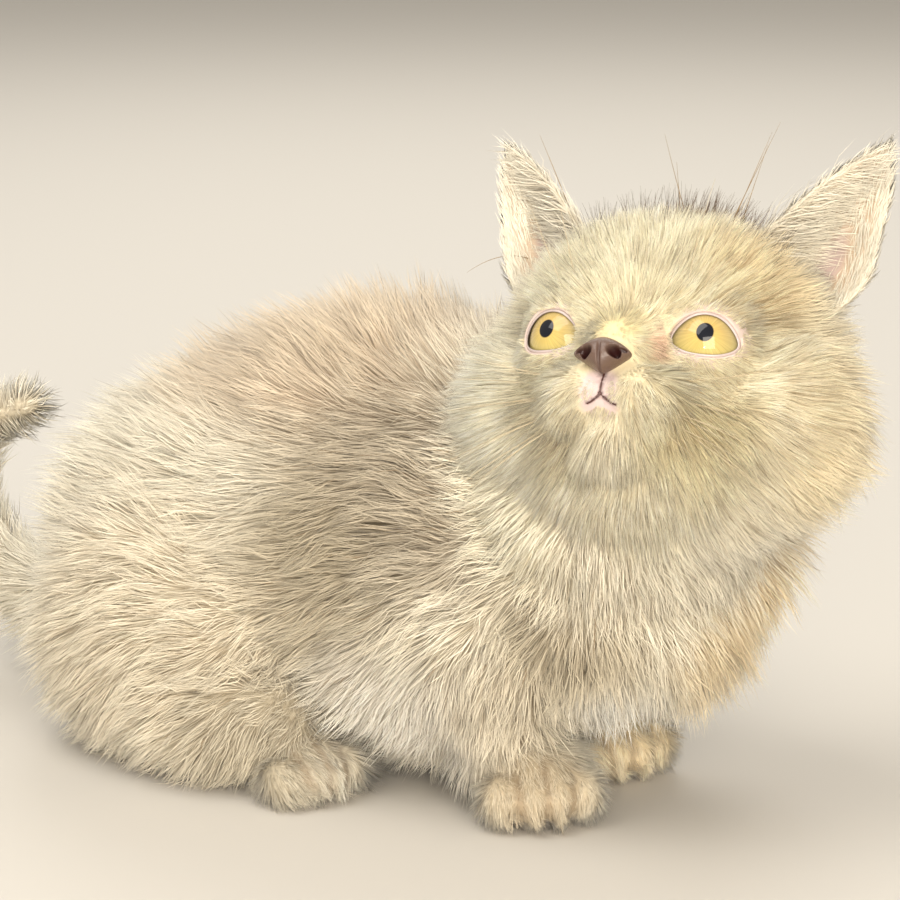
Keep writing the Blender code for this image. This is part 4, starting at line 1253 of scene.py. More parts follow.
@dataclass
class Coat:
    """The kitten's fluff: every tuft over the skin, in pieces by the parts of the body."""

    body: Body
    markings_and_painted_light: MarkingsAndPaintedLight
    ground: Ground
    lips: list[list[Vector]]
    share: float = 1.0
    long_shares: tuple[float, ...] = (0.0, 0.55)
    short_shares: tuple[float, ...] = (0.0,)
    most: int = 195000
    fluff_centre: Vector = field(default_factory=lambda: Vector((82.0, 8.0, 30.0)) * MM)
    fluff_radii: Vector = field(default_factory=lambda: Vector((14.0, 18.0, 14.0)) * MM)
    lock_size: float = 3.4 * MM
    lock_rise: float = 0.15
    guard_share: float = 0.327
    wool_stout: float = 1.35
    seed: int = 5

    def trim(self, points: np.ndarray) -> tuple[np.ndarray, np.ndarray]:
        """How the face's coat is cut back round the eyes, nose and lips.

        Args:
            points: Rows of roots.

        Returns:
            A factor on the length of each tuft, and whether it grows at all.
        """
        head = self.body.head
        factor = np.ones(len(points))
        grows = np.ones(len(points), bool)
        for side in SIDES.values():
            local = apply(head.eye_frame(side).inverted(), points)
            width, height = head.opening_width / 2, head.opening_height / 2
            ring = np.hypot(local[:, 1] / width, local[:, 2] / height)
            front = local[:, 0] > -2 * MM
            factor *= np.where(front, 0.22 + 0.78 * smooth(1.05, 2.3, ring), 1.0)
            deep = np.linalg.norm(local, axis=1) < head.eye_radius + 0.75 * MM
            grows &= ~deep & ~(front & (ring < 1.08))
        nose = apply(head.nose_frame().inverted(), points) / np.array((5.2, 5.6, 4.4)) / MM
        far = np.linalg.norm(nose, axis=1)
        factor *= 0.3 + 0.7 * smooth(1.0, 2.2, far)
        grows &= far > 1.0
        factor *= 1 - 0.4 * self.body.limbs.creases(points)
        on_head = apply(head.frame().inverted(), points)
        factor *= 1 - 0.25 * smooth(24 * MM, 30 * MM, on_head[:, 2]) * smooth(24 * MM, 16 * MM, np.abs(on_head[:, 1]))
        fluff = (points - np.array(self.fluff_centre)) / np.array(self.fluff_radii)
        factor *= 1 + 0.35 * smooth(1.2, 0.4, np.linalg.norm(fluff, axis=1))
        lips = np.full(len(points), 1.0)
        for line in self.lips:
            for point in line:
                lips = np.minimum(lips, np.linalg.norm(points - np.array(point), axis=1))
        factor *= 0.3 + 0.7 * smooth(0.8 * MM, 5.0 * MM, lips)
        grows &= lips > 1.0 * MM
        return factor, grows

    def swirl_share(self, name: str) -> float:
        """How much of the body's swirls a piece of the coat has: little on the face and the feet."""
        return 0.45 if name.startswith(("coat_face", "coat_paws")) else 1.0

    def grow(self) -> list[bpy.types.Object]:
        """Grows the whole coat.

        Returns:
            The coat's pieces.
        """
        rng = np.random.default_rng(self.seed)
        ground = self.ground
        centres = ground.points[ground.triangles].mean(axis=1)
        survey = self.body.survey(centres)
        on_head = apply(self.body.head.frame().inverted(), centres)
        face = smooth(4 * MM, 20 * MM, on_head[:, 0]) * (survey.zones[Zone.SKULL] + survey.zones[Zone.MUZZLE])
        density = survey.growth[:, 0] * (1 + 1.9 * face * survey.zones[Zone.SKULL]) * self.share / MM ** 2
        roots = ground.sow(density, rng)
        factor, grows = self.trim(roots.points)
        roots, factor = roots.keep(grows), factor[grows]
        survey = self.body.survey(roots.points)
        tips, bases = self.markings_and_painted_light.colours(roots.points)
        brown = (rng.random(len(tips)) < self.markings_and_painted_light.flecks(roots.points)) * rng.uniform(0.4, 0.95, len(tips))
        tips = mix(tips, linear(self.markings_and_painted_light.fleck), brown)
        on_head = apply(self.body.head.frame().inverted(), roots.points)
        heads = survey.zones[Zone.SKULL] + survey.zones[Zone.MUZZLE]
        is_face = (heads > 0.5) & (on_head[:, 0] > 10 * MM)
        is_head = (heads > 0.5) & ~is_face
        is_tail = survey.zones[Zone.TAIL] > 0.5
        feet = survey.zones[Zone.PAW] + survey.zones[Zone.FOOT]
        is_feet = feet > 0.5
        is_trunk = ~(is_face | is_head | is_tail | is_feet)
        self.guard = rng.random(len(roots.points)) < self.guard_share
        long_coat = is_head | is_tail | is_trunk
        parts = {
            "face": is_face, "paws": is_feet, "wool_head": is_head & ~self.guard,
            "wool_body": is_trunk & ~self.guard, "wool_tail": is_tail & ~self.guard,
            "guard_hair": long_coat & self.guard,
        }
        pieces = []
        for name, mask in parts.items():
            shares = self.long_shares if name == "guard_hair" else self.short_shares
            triangles = 6 * (len(shares) - 1) + 4
            chosen = np.flatnonzero(mask)
            order = np.argsort(roots.points[chosen, 0] + 0.25 * roots.points[chosen, 2])
            chosen = chosen[order]
            lots = max(1, math.ceil(len(chosen) * triangles / self.most))
            for number, lot in enumerate(np.array_split(chosen, lots), 1):
                pieces.append(self.piece(f"coat_{name}_{number}", lot, roots, survey, factor, tips, bases, shares, rng))
        return pieces

    def piece(self, name: str, lot: np.ndarray, roots: Roots, survey: Survey, factor: np.ndarray,
              tips: np.ndarray, bases: np.ndarray, shares: tuple[float, ...], rng: np.random.Generator
              ) -> bpy.types.Object:
        """Builds the tufts of one piece of the coat.

        Args:
            name: The piece's name.
            lot: Which roots are in it.
            roots: All roots.
            survey: What the coat does at each root.
            factor: How the face's coat is cut back at each root.
            tips: The colours of the tips.
            bases: The colours of the roots.
            shares: Where each tuft's cross sections are.
            rng: The source of all that is random.

        Returns:
            The piece.
        """
        growth = survey.growth[lot]
        guard = self.guard[lot]
        uneven = np.where(guard, rng.normal(1.07, 0.17, len(lot)), rng.normal(0.84, 0.13, len(lot)))
        cells = np.floor(roots.points[lot] / self.lock_size).astype(np.int64)
        cell = np.unique(cells, axis=0, return_inverse=True)[1].ravel()
        uneven = uneven + rng.normal(0, self.lock_rise, cell.max() + 1)[cell] * np.where(guard, 1.0, 0.5)
        height = survey.depth[lot] * factor[lot] * np.clip(uneven, 0.4, 1.45)
        tufts = Tufts(
            Roots(roots.points[lot], roots.normals[lot], roots.places[lot]),
            survey.lie[lot],
            height * growth[:, 1],
            height,
            growth[:, 2] * MM * rng.uniform(0.75, 1.2, len(lot)) * (1.0 if len(shares) > 1 else self.wool_stout),
            tips[lot],
            bases[lot],
            clump=float(growth[:, 3].mean()) * MM,
            gather=float(growth[:, 4].mean()),
            swing=self.body.swirl(roots.points[lot]) * self.swirl_share(name),
            uneven=0.16 if name.startswith("coat_face") else 0.08,
            lock_tone=0.085 if name.startswith("coat_face") else 0.038,
            floor=0.0,
        )
        obj = tufts.mesh(name, shares, rng)
        obj.data.materials.append(FurFinish().material(name))
        return obj


@dataclass(frozen=True)
class EyeFinish:
    """A living eye's wet surface: a golden iris under a clear glossy cornea, with a dark blue-black pupil, and painted
    light that brightens the iris towards its lower part.
    """

    pupil: float = 0.205
    iris: float = 1.0
    gold: str = "#C8AB66"
    painted_glow: str = "#CDBB6C"
    edge: str = "#9F9676"
    dark: str = "#0A0D18"

    def material(self) -> bpy.types.Material:
        """The finish of both eyes, drawn on the place across the gaze that each vertex keeps."""
        shader = Shader("wet_eye")
        gaze = shader.node("ShaderNodeAttribute", attribute_name="gaze")
        split = shader.node("ShaderNodeSeparateXYZ", {"Vector": gaze.outputs["Vector"]})
        flat = shader.node("ShaderNodeCombineXYZ", {"X": split.outputs["Y"], "Y": split.outputs["Z"]})
        oval = shader.node(
            "ShaderNodeVectorMath", {0: flat.outputs["Vector"], 1: (1.06, 0.94, 1.0)}, operation="MULTIPLY"
        )
        shifted = shader.node(
            "ShaderNodeVectorMath", {0: oval.outputs["Vector"], 1: (0.0, 0.03, 0.0)}, operation="SUBTRACT"
        )
        centre = shader.node("ShaderNodeVectorMath", {0: shifted.outputs["Vector"]}, operation="LENGTH")
        radius = shader.node("ShaderNodeVectorMath", {0: flat.outputs["Vector"]}, operation="LENGTH")
        ray = shader.node("ShaderNodeVectorMath", {0: flat.outputs["Vector"]}, operation="NORMALIZE")
        fibre = shader.node(
            "ShaderNodeTexNoise", {"Vector": ray.outputs["Vector"], "Scale": 14.0, "Detail": 4.0, "Roughness": 0.7}
        )
        across = shader.node(
            "ShaderNodeMapRange",
            {"Value": radius.outputs["Value"], "From Min": 0.3, "From Max": 0.82, "To Min": 0.0, "To Max": 1.0},
        )
        ramp = shader.node("ShaderNodeMix", data_type="RGBA")
        shader.tree.links.new(across.outputs["Result"], ramp.inputs[0])
        ramp.inputs[6].default_value = rgba(self.gold)
        ramp.inputs[7].default_value = rgba(self.edge)
        # Painted light: the lower part of the iris is mixed towards a paler gold, standing in for light gathered
        # through the cornea.
        low = shader.node(
            "ShaderNodeMapRange",
            {"Value": split.outputs["Z"], "From Min": 0.1, "From Max": -0.55, "To Min": 0.0, "To Max": 0.85},
        )
        lit = shader.node("ShaderNodeMix", data_type="RGBA")
        shader.tree.links.new(low.outputs["Result"], lit.inputs[0])
        shader.tree.links.new(ramp.outputs[2], lit.inputs[6])
        lit.inputs[7].default_value = rgba(self.painted_glow)
        streak = shader.node(
            "ShaderNodeMapRange",
            {"Value": fibre.outputs["Fac"], "From Min": 0.3, "From Max": 0.7, "To Min": 0.72, "To Max": 1.12},
        )
        fibred = shader.node("ShaderNodeMix", data_type="RGBA", blend_type="MULTIPLY")
        fibred.inputs[0].default_value = 1.0
        shader.tree.links.new(lit.outputs[2], fibred.inputs[6])
        shader.tree.links.new(streak.outputs["Result"], fibred.inputs[7])
        hole = shader.node(
            "ShaderNodeMapRange",
            {"Value": centre.outputs["Value"], "From Min": self.pupil - 0.012, "From Max": self.pupil + 0.012,
             "To Min": 1.0, "To Max": 0.0},
        )
        limbus = shader.node(
            "ShaderNodeMapRange",
            {"Value": radius.outputs["Value"], "From Min": self.iris - 0.05, "From Max": self.iris,
             "To Min": 0.0, "To Max": 1.0},
        )
        darkest = shader.node(
            "ShaderNodeMath", {0: hole.outputs["Result"], 1: limbus.outputs["Result"]}, operation="MAXIMUM"
        )
        whole = shader.node("ShaderNodeMix", data_type="RGBA")
        shader.tree.links.new(darkest.outputs["Value"], whole.inputs[0])
        shader.tree.links.new(fibred.outputs[2], whole.inputs[6])
        whole.inputs[7].default_value = rgba(self.dark)
        shader.set(Base_Color=whole.outputs[2], Roughness=0.4, IOR=1.38, Specular_IOR_Level=0.1, Coat_Weight=1.0,
                   Coat_Roughness=0.02, Coat_IOR=1.45)
        return shader.material


@dataclass
class Eyes:
    """Two eyeballs with a bulging cornea, and the moist rims of the lids round them."""

    head: Head
    cornea: float = 0.35 * MM
    rim_thickness: float = 0.3 * MM
    pale: str = "#BFB0AC"
    line: str = "#3A2B28"

    def ball(self, name: str, side: float) -> bpy.types.Object:
        """One eyeball, which keeps each vertex's place across the gaze."""
        shape = bmesh.new()
        bmesh.ops.create_uvsphere(shape, u_segments=72, v_segments=48, radius=1.0)
        shape.transform(Matrix.Rotation(math.radians(90), 4, "Y"))
        obj = object_of(f"eyeball_{name}", shape)
        points = vertices_of(obj.data)
        gaze = points.copy()
        bulge = smooth(0.72, 0.05, np.hypot(points[:, 1], points[:, 2])) * (points[:, 0] > 0)
        radius = self.head.eye_radius + self.cornea * bulge
        set_vertices(obj.data, apply(self.head.eye_frame(side), points * radius[:, None]))
        layer = obj.data.attributes.new("gaze", "FLOAT_VECTOR", "POINT")
        layer.data.foreach_set("vector", gaze.astype(np.float32).ravel())
        return obj

    def rim(self, name: str, side: float) -> bpy.types.Object:
        """The edge of the lids: a soft band round the opening, dark inside and pale outside."""
        outline = self.head.opening(96)
        corners = 12
        points, colours = [], []
        base = self.head.eye_radius
        for index, (y, z) in enumerate(outline):
            out = unit(np.array((y / self.head.opening_width, z / self.head.opening_height)))
            upper = 1.0 if z > 0 else 0.55
            for corner in range(corners):
                angle = 2 * math.pi * corner / corners
                wide = 0.38 * MM * (0.6 + 0.5 * upper)
                sideways = (1 + math.cos(angle)) * wide - 0.25 * MM
                high = math.sin(angle) * self.rim_thickness
                py, pz = y + out[0] * sideways, z + out[1] * sideways
                depth = math.sqrt(max((base + 0.34 * MM + high) ** 2 - py * py - pz * pz, 0))
                points.append((depth, py, pz))
                colours.append(sideways / (2 * wide) + 0.25 * (1 + math.sin(angle)))
        shape = bmesh.new()
        verts = [shape.verts.new(point) for point in points]
        count = len(outline)
        for index in range(count):
            for corner in range(corners):
                ahead, after = (index + 1) % count, (corner + 1) % corners
                shape.faces.new((
                    verts[index * corners + corner], verts[ahead * corners + corner],
                    verts[ahead * corners + after], verts[index * corners + after],
                ))
        bmesh.ops.recalc_face_normals(shape, faces=shape.faces)
        shape.transform(self.head.eye_frame(side))
        obj = object_of(f"lid_rim_{name}", shape)
        share = smooth(-0.2, 0.3, np.array(colours))
        paint(obj.data, "coat", mix(np.tile(linear(self.line), (len(share), 1)), linear(self.pale), share))
        return obj

    def build(self) -> dict[str, bpy.types.Object]:
        """Both eyes and their rims, with their finishes."""
        made = {}
        wet = EyeFinish().material()
        edge = LidFinish().material()
        for name, side in SIDES.items():
            made[f"ball_{name}"] = self.ball(name, side)
            made[f"ball_{name}"].data.materials.append(wet)
            made[f"rim_{name}"] = self.rim(name, side)
            made[f"rim_{name}"].data.materials.append(edge)
        return made


@dataclass(frozen=True)
class LidFinish:
    """The lids' moist hairless edge: smooth, slightly shiny skin."""

    roughness: float = 0.25

    def material(self) -> bpy.types.Material:
        """The finish of the lid rims."""
        shader = Shader("lid_edge")
        colour = shader.node("ShaderNodeAttribute", attribute_name="coat")
        shader.set(Base_Color=colour.outputs["Color"], Roughness=self.roughness, Coat_Weight=0.4)
        return shader.material


@dataclass(frozen=True)
class NoseFinish:
    """Nose leather: fine pebbled skin, moist, with a dark lining and painted shade in the nostrils."""

    roughness: float = 0.42
    pebble: float = 0.45 * MM

    def material(self) -> bpy.types.Material:
        """The finish of the nose."""
        shader = Shader("nose_leather")
        colour = shader.node("ShaderNodeAttribute", attribute_name="coat")
        place = shader.node("ShaderNodeTexCoord")
        cells = shader.node("ShaderNodeTexVoronoi", {"Vector": place.outputs["Object"], "Scale": 1 / self.pebble})
        bump = shader.node(
            "ShaderNodeBump", {"Height": cells.outputs["Distance"], "Distance": 0.1 * MM, "Strength": 0.55}
        )
        shader.set(Base_Color=colour.outputs["Color"], Roughness=self.roughness, Normal=bump.outputs["Normal"],
                   Coat_Weight=0.25, Coat_Roughness=0.25)
        return shader.material


@dataclass
class Nose:
    """The nose leather: wide over the nostrils, narrow at the lip, grooved down its middle."""

    head: Head
    width: float = 11.0 * MM
    height: float = 7.6 * MM
    depth: float = 6.4 * MM
    leather: str = "#604A3F"
    top: str = "#8A5B3A"
    nostril_lining_and_shade: str = "#2E0E0B"

    def build(self) -> bpy.types.Object:
        """The nose as one closed piece with its colours."""
        shape = bmesh.new()
        bmesh.ops.create_icosphere(shape, subdivisions=6, radius=1.0)
        obj = object_of("nose_pad", shape)
        ball = vertices_of(obj.data)
        below, above = np.maximum(0.0, -0.05 - ball[:, 2]) / 0.95, np.maximum(0.0, ball[:, 2] + 0.05)
        points = ball.copy()
        points[:, 1] *= 1 - 0.78 * below - 0.42 * above
        points[:, 2] *= np.where(ball[:, 2] > 0, 0.8, 1.0)
        points *= np.array((self.depth, self.width, self.height)) / 2
        colours = np.tile(linear(self.leather), (len(points), 1))
        colours = mix(colours, linear(self.top), smooth(1.4 * MM, 2.9 * MM, points[:, 2]) * 0.85)
        ahead = points[:, 0] > 0
        for side in SIDES.values():
            y, z = points[:, 1] * side, points[:, 2]
            round_hole = np.hypot((y - 2.7 * MM) / (1.35 * MM), (z + 0.6 * MM) / (1.2 * MM))
            comma = np.hypot((y - 3.8 * MM) / (1.3 * MM), (z + 0.2 * MM) / (0.5 * MM))
            # Painted shade: the nostrils are coloured nearly black, partly their own dark lining, partly the shade of
            # their hollows.
            hole = np.maximum(smooth(1.1, 0.6, round_hole), smooth(1.1, 0.5, comma)) * ahead
            points[:, 0] -= (hole * 1.2 + smooth(0.95, 0.0, round_hole) * ahead * 1.9) * MM
            colours = mix(colours, linear(self.nostril_lining_and_shade), hole)
        groove = smooth(0.45 * MM, 0.08 * MM, np.abs(points[:, 1])) * smooth(1.5 * MM, -0.5 * MM, points[:, 2]) * ahead
        points[:, 0] -= groove * 0.45 * MM
        # Painted shade: the groove down the middle of the nose is coloured darker, standing in for the shade in it.
        colours = mix(colours, linear("#4A332B"), groove * 0.8)
        set_vertices(obj.data, apply(self.head.nose_frame(), points))
        paint(obj.data, "coat", colours)
        obj.data.materials.append(NoseFinish().material())
        return obj


@dataclass(frozen=True)
class EarFinish:
    """Thin ear skin: pinkish beige, faintly veined, soft and matt."""

    roughness: float = 0.55

    def material(self) -> bpy.types.Material:
        """The finish of the ears."""
        shader = Shader("ear_skin")
        colour = shader.node("ShaderNodeAttribute", attribute_name="coat")
        place = shader.node("ShaderNodeTexCoord")
        noise = shader.node("ShaderNodeTexNoise", {"Vector": place.outputs["Object"], "Scale": 900.0, "Detail": 3.0})
        bump = shader.node("ShaderNodeBump", {"Height": noise.outputs["Fac"], "Distance": 0.2 * MM, "Strength": 0.4})
        shader.set(Base_Color=colour.outputs["Color"], Roughness=self.roughness, Normal=bump.outputs["Normal"])
        return shader.material


@dataclass
class Ears:
    """Two thin cupped ears, pointed at the tip and open to the front, with their own coat."""

    head: Head
    root: Vector = field(default_factory=lambda: Vector((1.0, 25.0, 16.0)) * MM)
    tip: Vector = field(default_factory=lambda: Vector((-1.0, 38.8, 47.6)) * MM)
    width: float = 28.5 * MM
    cup: float = 9.0 * MM
    thickness: float = 1.5 * MM
    outward: float = 27.0
    sink: float = 0.22
    inner: str = "#CBB398"
    patch: str = "#B9A39E"
    rim: str = "#EFE6D0"
    seed: int = 23

    def sheet(self, side: float, columns: int = 36, rows: int = 36) -> tuple[np.ndarray, np.ndarray]:
        """The ear's middle sheet.

        Args:
            side: The ear's side.
            columns: How many strips go across it.
            rows: How many strips go up it.

        Returns:
            A grid of points in the head's frame, and each point's share across and up.
        """
        root, tip = sided(self.root, side), sided(self.tip, side)
        up = (tip - root).normalized()
        outward = math.radians(self.outward) * side
        facing = Vector((math.cos(outward), math.sin(outward), 0))
        facing = (facing - up * facing.dot(up)).normalized()
        across = up.cross(facing)
        share, rise = np.meshgrid(np.linspace(-1, 1, columns + 1), np.linspace(-self.sink, 1, rows + 1))
        above = np.maximum(rise, 0)
        taper = np.maximum(0, 1 - above) ** 0.78
        half = np.maximum(self.width / 2 * taper * (1 + 0.22 * above), 0.7 * MM)
        half = half * np.where(share * side > 0, 0.25 + 0.6 * smooth(-0.22, 0.4, rise) + 0.15 * smooth(0.5, 0.9, rise), 1.0)
        cup = self.cup * (1 - 0.85 * above)
        depth = cup * (1 - np.abs(share) ** 2.2) * np.minimum(1.0, half / (self.width / 4))
        grid = np.array(root) + np.array(up) * (tip - root).length * rise[..., None]
        grid = grid + np.array(across) * (half * share)[..., None] - np.array(facing) * depth[..., None]
        return grid, np.stack((share * side, rise), axis=-1)

    def build(self, name: str, side: float) -> bpy.types.Object:
        """One ear's skin, unwrapped on its own two sides and coloured.

        Args:
            name: The ear's name.
            side: Its side.

        Returns:
            The closed ear, in the body's frame.
        """
        grid, shares = self.sheet(side)
        rows, columns = grid.shape[:2]
        across = np.gradient(grid, axis=1)
        upward = np.gradient(grid, axis=0)
        facing = unit(np.cross(across, upward))
        edge = np.minimum(1 - np.abs(shares[..., 0]), (1 - shares[..., 1]) * 1.5)
        thick = self.thickness * (0.3 + 0.7 * smooth(0.0, 0.3, edge)) / 2
        front, back = grid + facing * thick[..., None], grid - facing * thick[..., None]
        shape = bmesh.new()
        layers = [[[shape.verts.new(point) for point in row] for row in layer] for layer in (front, back)]
        bake = shape.loops.layers.uv.new(BAKE_MAP)

        def add(corners: list[tuple[int, int, int]]) -> None:
            """Adds a face between corners given as layer, row and column."""
            face = shape.faces.new([layers[layer][row][column] for layer, row, column in corners])
            for loop, (layer, row, column) in zip(face.loops, corners):
                loop[bake].uv = (0.02 + 0.46 * column / (columns - 1) + 0.5 * layer, 0.02 + 0.96 * row / (rows - 1))

        for row in range(rows - 1):
            for column in range(columns - 1):
                add([(0, row, column), (0, row, column + 1), (0, row + 1, column + 1), (0, row + 1, column)])
                add([(1, row + 1, column), (1, row + 1, column + 1), (1, row, column + 1), (1, row, column)])
            for column in (0, columns - 1):
                add([(0, row, column), (0, row + 1, column), (1, row + 1, column), (1, row, column)])
        for row in (0, rows - 1):
            for column in range(columns - 1):
                add([(0, row, column), (1, row, column), (1, row, column + 1), (0, row, column + 1)])
        bmesh.ops.recalc_face_normals(shape, faces=shape.faces)
        shape.transform(self.head.frame())
        obj = object_of(f"ear_skin_{name}", shape)
        across_share, rise = shares[..., 0].ravel(), shares[..., 1].ravel()
        inner = np.tile(linear(self.inner), (len(rise), 1))
        pale = smooth(1.0, 0.4, np.hypot((across_share - 0.2) / 0.42, (rise - 0.3) / 0.3))
        inner = mix(inner, linear(self.patch), pale * 0.9)
        inner = mix(inner, linear(self.rim), smooth(0.75, 0.95, np.abs(across_share)))
        outer = np.tile(linear("#DCCDB2"), (len(rise), 1))
        paint(obj.data, "coat", np.concatenate((inner, outer)))
        obj.data.materials.append(EarFinish().material())
        return obj

    def coat(self, name: str, side: float, ear: bpy.types.Object) -> bpy.types.Object:
        """The ear's hair: short outside, a pale rim, and long hairs that sweep out from the inner edge.

        Args:
            name: The ear's name.
            side: Its side.
            ear: Its skin.

        Returns:
            The ear's coat.
        """
        rng = np.random.default_rng(self.seed + int(side > 0))
        ground = Ground.of(ear)
        centres = ground.points[ground.triangles].mean(axis=1)
        density = np.full(len(centres), 5.2) / MM ** 2
        roots = ground.sow(density, rng)
        place = self.head.frame()
        local = apply(place.inverted(), roots.points)
        root, tip = np.array(sided(self.root, side)), np.array(sided(self.tip, side))
        up = unit(tip - root)
        outward = math.radians(self.outward) * side
        facing = np.array((math.cos(outward), math.sin(outward), 0))
        facing = unit(facing - up * facing @ up)
        across = np.cross(up, facing) * side
        rise = (local - root) @ up / np.linalg.norm(tip - root)
        half = np.maximum(self.width / 2 * np.maximum(0, 1 - np.maximum(rise, 0)) ** 0.78, 1 * MM)
        share = (local - root) @ across / half
        turn = np.array(place.to_3x3())
        front = (roots.normals @ (turn @ facing)) > 0.05
        edge = smooth(0.6, 0.92, np.abs(share))
        bare = smooth(1.0, 0.5, np.hypot((share - 0.2) / 0.42, (rise - 0.3) / 0.3))
        grows = (rise > 0.02) & (~front | (rng.random(len(rise)) < (0.6 + 0.4 * edge) * (1 - 0.95 * bare)))
        roots = roots.keep(grows)
        rise, share, front, edge = rise[grows], share[grows], front[grows], edge[grows]
        inner_edge = front & (share < -0.3)
        long = inner_edge & (rng.random(len(rise)) < 0.55)
        lie = turn @ up
        lie = np.tile(lie, (len(rise), 1))
        sweep = turn @ (across * 0.9 + up * 0.5)
        lie = np.where(long[:, None], sweep, lie)
        length = np.where(front, 3.4, 3.4) * MM * rng.uniform(0.7, 1.3, len(rise))
        length = np.where(long, rng.uniform(7, 16, len(rise)) * MM * (1 - 0.4 * np.clip(rise, 0, 1)), length)
        height = np.where(long, length * 0.4, length * 0.36)
        tips = np.where(front[:, None], linear("#F5EEDC"), linear("#EDE2C8"))
        bases = np.where(front[:, None], linear("#D4C6AC"), linear("#B9A685"))
        deeper = 0.9 if side > 0 else 1.0
        tufts = Tufts(roots, lie, length, height, np.full(len(rise), 0.22 * MM), tips * deeper, bases * deeper,
                      clump=1.2 * MM, gather=0.3, sink=0.2 * MM, wave=0.05, scatter=0.14)
        obj = tufts.mesh(f"coat_ear_{name}", (0.0, 0.5), rng)
        obj.data.materials.append(FurFinish().material(f"ear_fur_{name}"))
        return obj


@dataclass
class Whiskers:
    """Long single hairs: whiskers, brow hairs, wisps and the crown's dark hairs, swept by one node tree."""

    head: Head
    thickness: float = 0.12 * MM
    crown_thickness: float = 0.085 * MM
    crown_count: int = 900
    sides: int = 5
    points_each: int = 14
    seed: int = 31

    def lines(self) -> list[np.ndarray]:
        """The hairs' middle lines, in the body's own frame.

        Returns:
            One array of points for each hair.
        """
        rng = np.random.default_rng(self.seed)
        place = self.head.frame()
        lines = []
        for side in SIDES.values():
            for row in range(4):
                for column in range(4):
                    start = np.array((25 - 1.8 * column, 5.5 + 1.7 * column, -6.5 - 1.7 * row)) * MM
                    length = rng.uniform(20, 34) * MM * (0.7 + 0.1 * column)
                    way = np.array((0.25, 1.0, 0.25 - 0.28 * row)) + rng.normal(0, 0.08, 3)
                    lines.append(self.hair(start, unit(way), length, np.array((-0.5, 0, -0.25)), side))
            for index in range(2):
                start = np.array((23.0, 11.0 + 3.4 * index, 13.0 + 0.6 * index)) * MM
                way = np.array((0.5, 0.28 + 0.1 * index, 1.0)) + rng.normal(0, 0.08, 3)
                lines.append(self.hair(start, unit(way), rng.uniform(14, 22) * MM, np.array((-0.5, 0.1, 0)), side))
        return [apply(place, line) for line in lines]

    def wisp_lines(self) -> list[np.ndarray]:
        """The long brown wisps that stand over the crown and beside the right ear."""
        place = self.head.frame()
        lines = []
        for start, way, length, droop, side in (
            ((2, 10, 30), (0.1, 0.42, 1.0), 22, 0.1, 1.0), ((4, 11, 29), (0.1, 0.36, 1.0), 20, 0.1, 1.0),
            ((1, 12, 30), (0.1, 0.25, 1.0), 17, 0.1, 1.0), ((4, 3, 30), (0.1, -0.4, 1.0), 19, 0.1, 1.0),
            ((3, 1, 31), (0.1, -0.2, 1.0), 12, 0.1, 1.0), ((2, 25, 38), (0.1, 0.5, 1.0), 12, 0.1, -1.0),
            ((-4, 37, 27), (0.0, 1.0, 0.3), 9, -2.2, -1.0),
        ):
            bend = np.array((0.1, 0.1, droop))
            lines.append(self.hair(np.array(start) * MM, unit(np.array(way)), length * MM, bend, side))
        return [apply(place, line) for line in lines]

    def crown_lines(self) -> list[np.ndarray]:
        """The fine dark hairs that stand up along the crown between the ears."""
        rng = np.random.default_rng(self.seed + 1)
        place = self.head.frame()
        skull, middle = np.array((28.0, 30.0, 24.0)), np.array((-5.0, 0.0, 8.0))
        lines = []
        for _ in range(self.crown_count):
            flat = np.array((rng.uniform(-13, 11), rng.uniform(-19, 22))) - middle[:2]
            rise = math.sqrt(1 - (flat[0] / skull[0]) ** 2 - (flat[1] / skull[1]) ** 2)
            start = np.array((*flat, rise * skull[2]))
            way = unit(start / skull ** 2) + np.array((-0.25, 0, 0.2)) + rng.normal(0, 0.2, 3)
            length = rng.uniform(5.0, 10.5) * MM
            lines.append(self.hair((start + middle) * MM, unit(way), length, np.array((-0.4, 0, -0.1)), 1.0))
        return [apply(place, line) for line in lines]

    def hair(self, start: np.ndarray, way: np.ndarray, length: float, bend: np.ndarray, side: float) -> np.ndarray:
        """One curved hair on a side of the head, in the head's frame."""
        share = np.linspace(0, 1, self.points_each)[:, None]
        line = start - way * 4 * MM + way * share * (length + 4 * MM) + bend * share ** 2 * length * 0.35
        return line * np.array((1.0, side, 1.0))

    def tree(self, material: bpy.types.Material) -> bpy.types.NodeTree:
        """The node tree that sweeps a tapering hair along each line.

        Args:
            material: What the hairs are made of.

        Returns:
            The tree, with inputs for the hairs' thickness and sides.
        """
        tree = bpy.data.node_groups.new("long_hairs", "GeometryNodeTree")
        tree.interface.new_socket("Geometry", in_out="INPUT", socket_type="NodeSocketGeometry")
        tree.interface.new_socket("Thickness", in_out="INPUT", socket_type="NodeSocketFloat")
        tree.interface.new_socket("Sides", in_out="INPUT", socket_type="NodeSocketInt")
        tree.interface.new_socket("Geometry", in_out="OUTPUT", socket_type="NodeSocketGeometry")

        def node(kind: str, links: dict[Any, Any] | None = None, **settings: Any) -> bpy.types.Node:
            """Adds a node with its settings and links."""
            made = tree.nodes.new(kind)
            for name, value in settings.items():
                setattr(made, name, value)
            for name, value in (links or {}).items():
                if isinstance(value, bpy.types.NodeSocket):
                    tree.links.new(value, made.inputs[name])
                else:
                    made.inputs[name].default_value = value
            return made

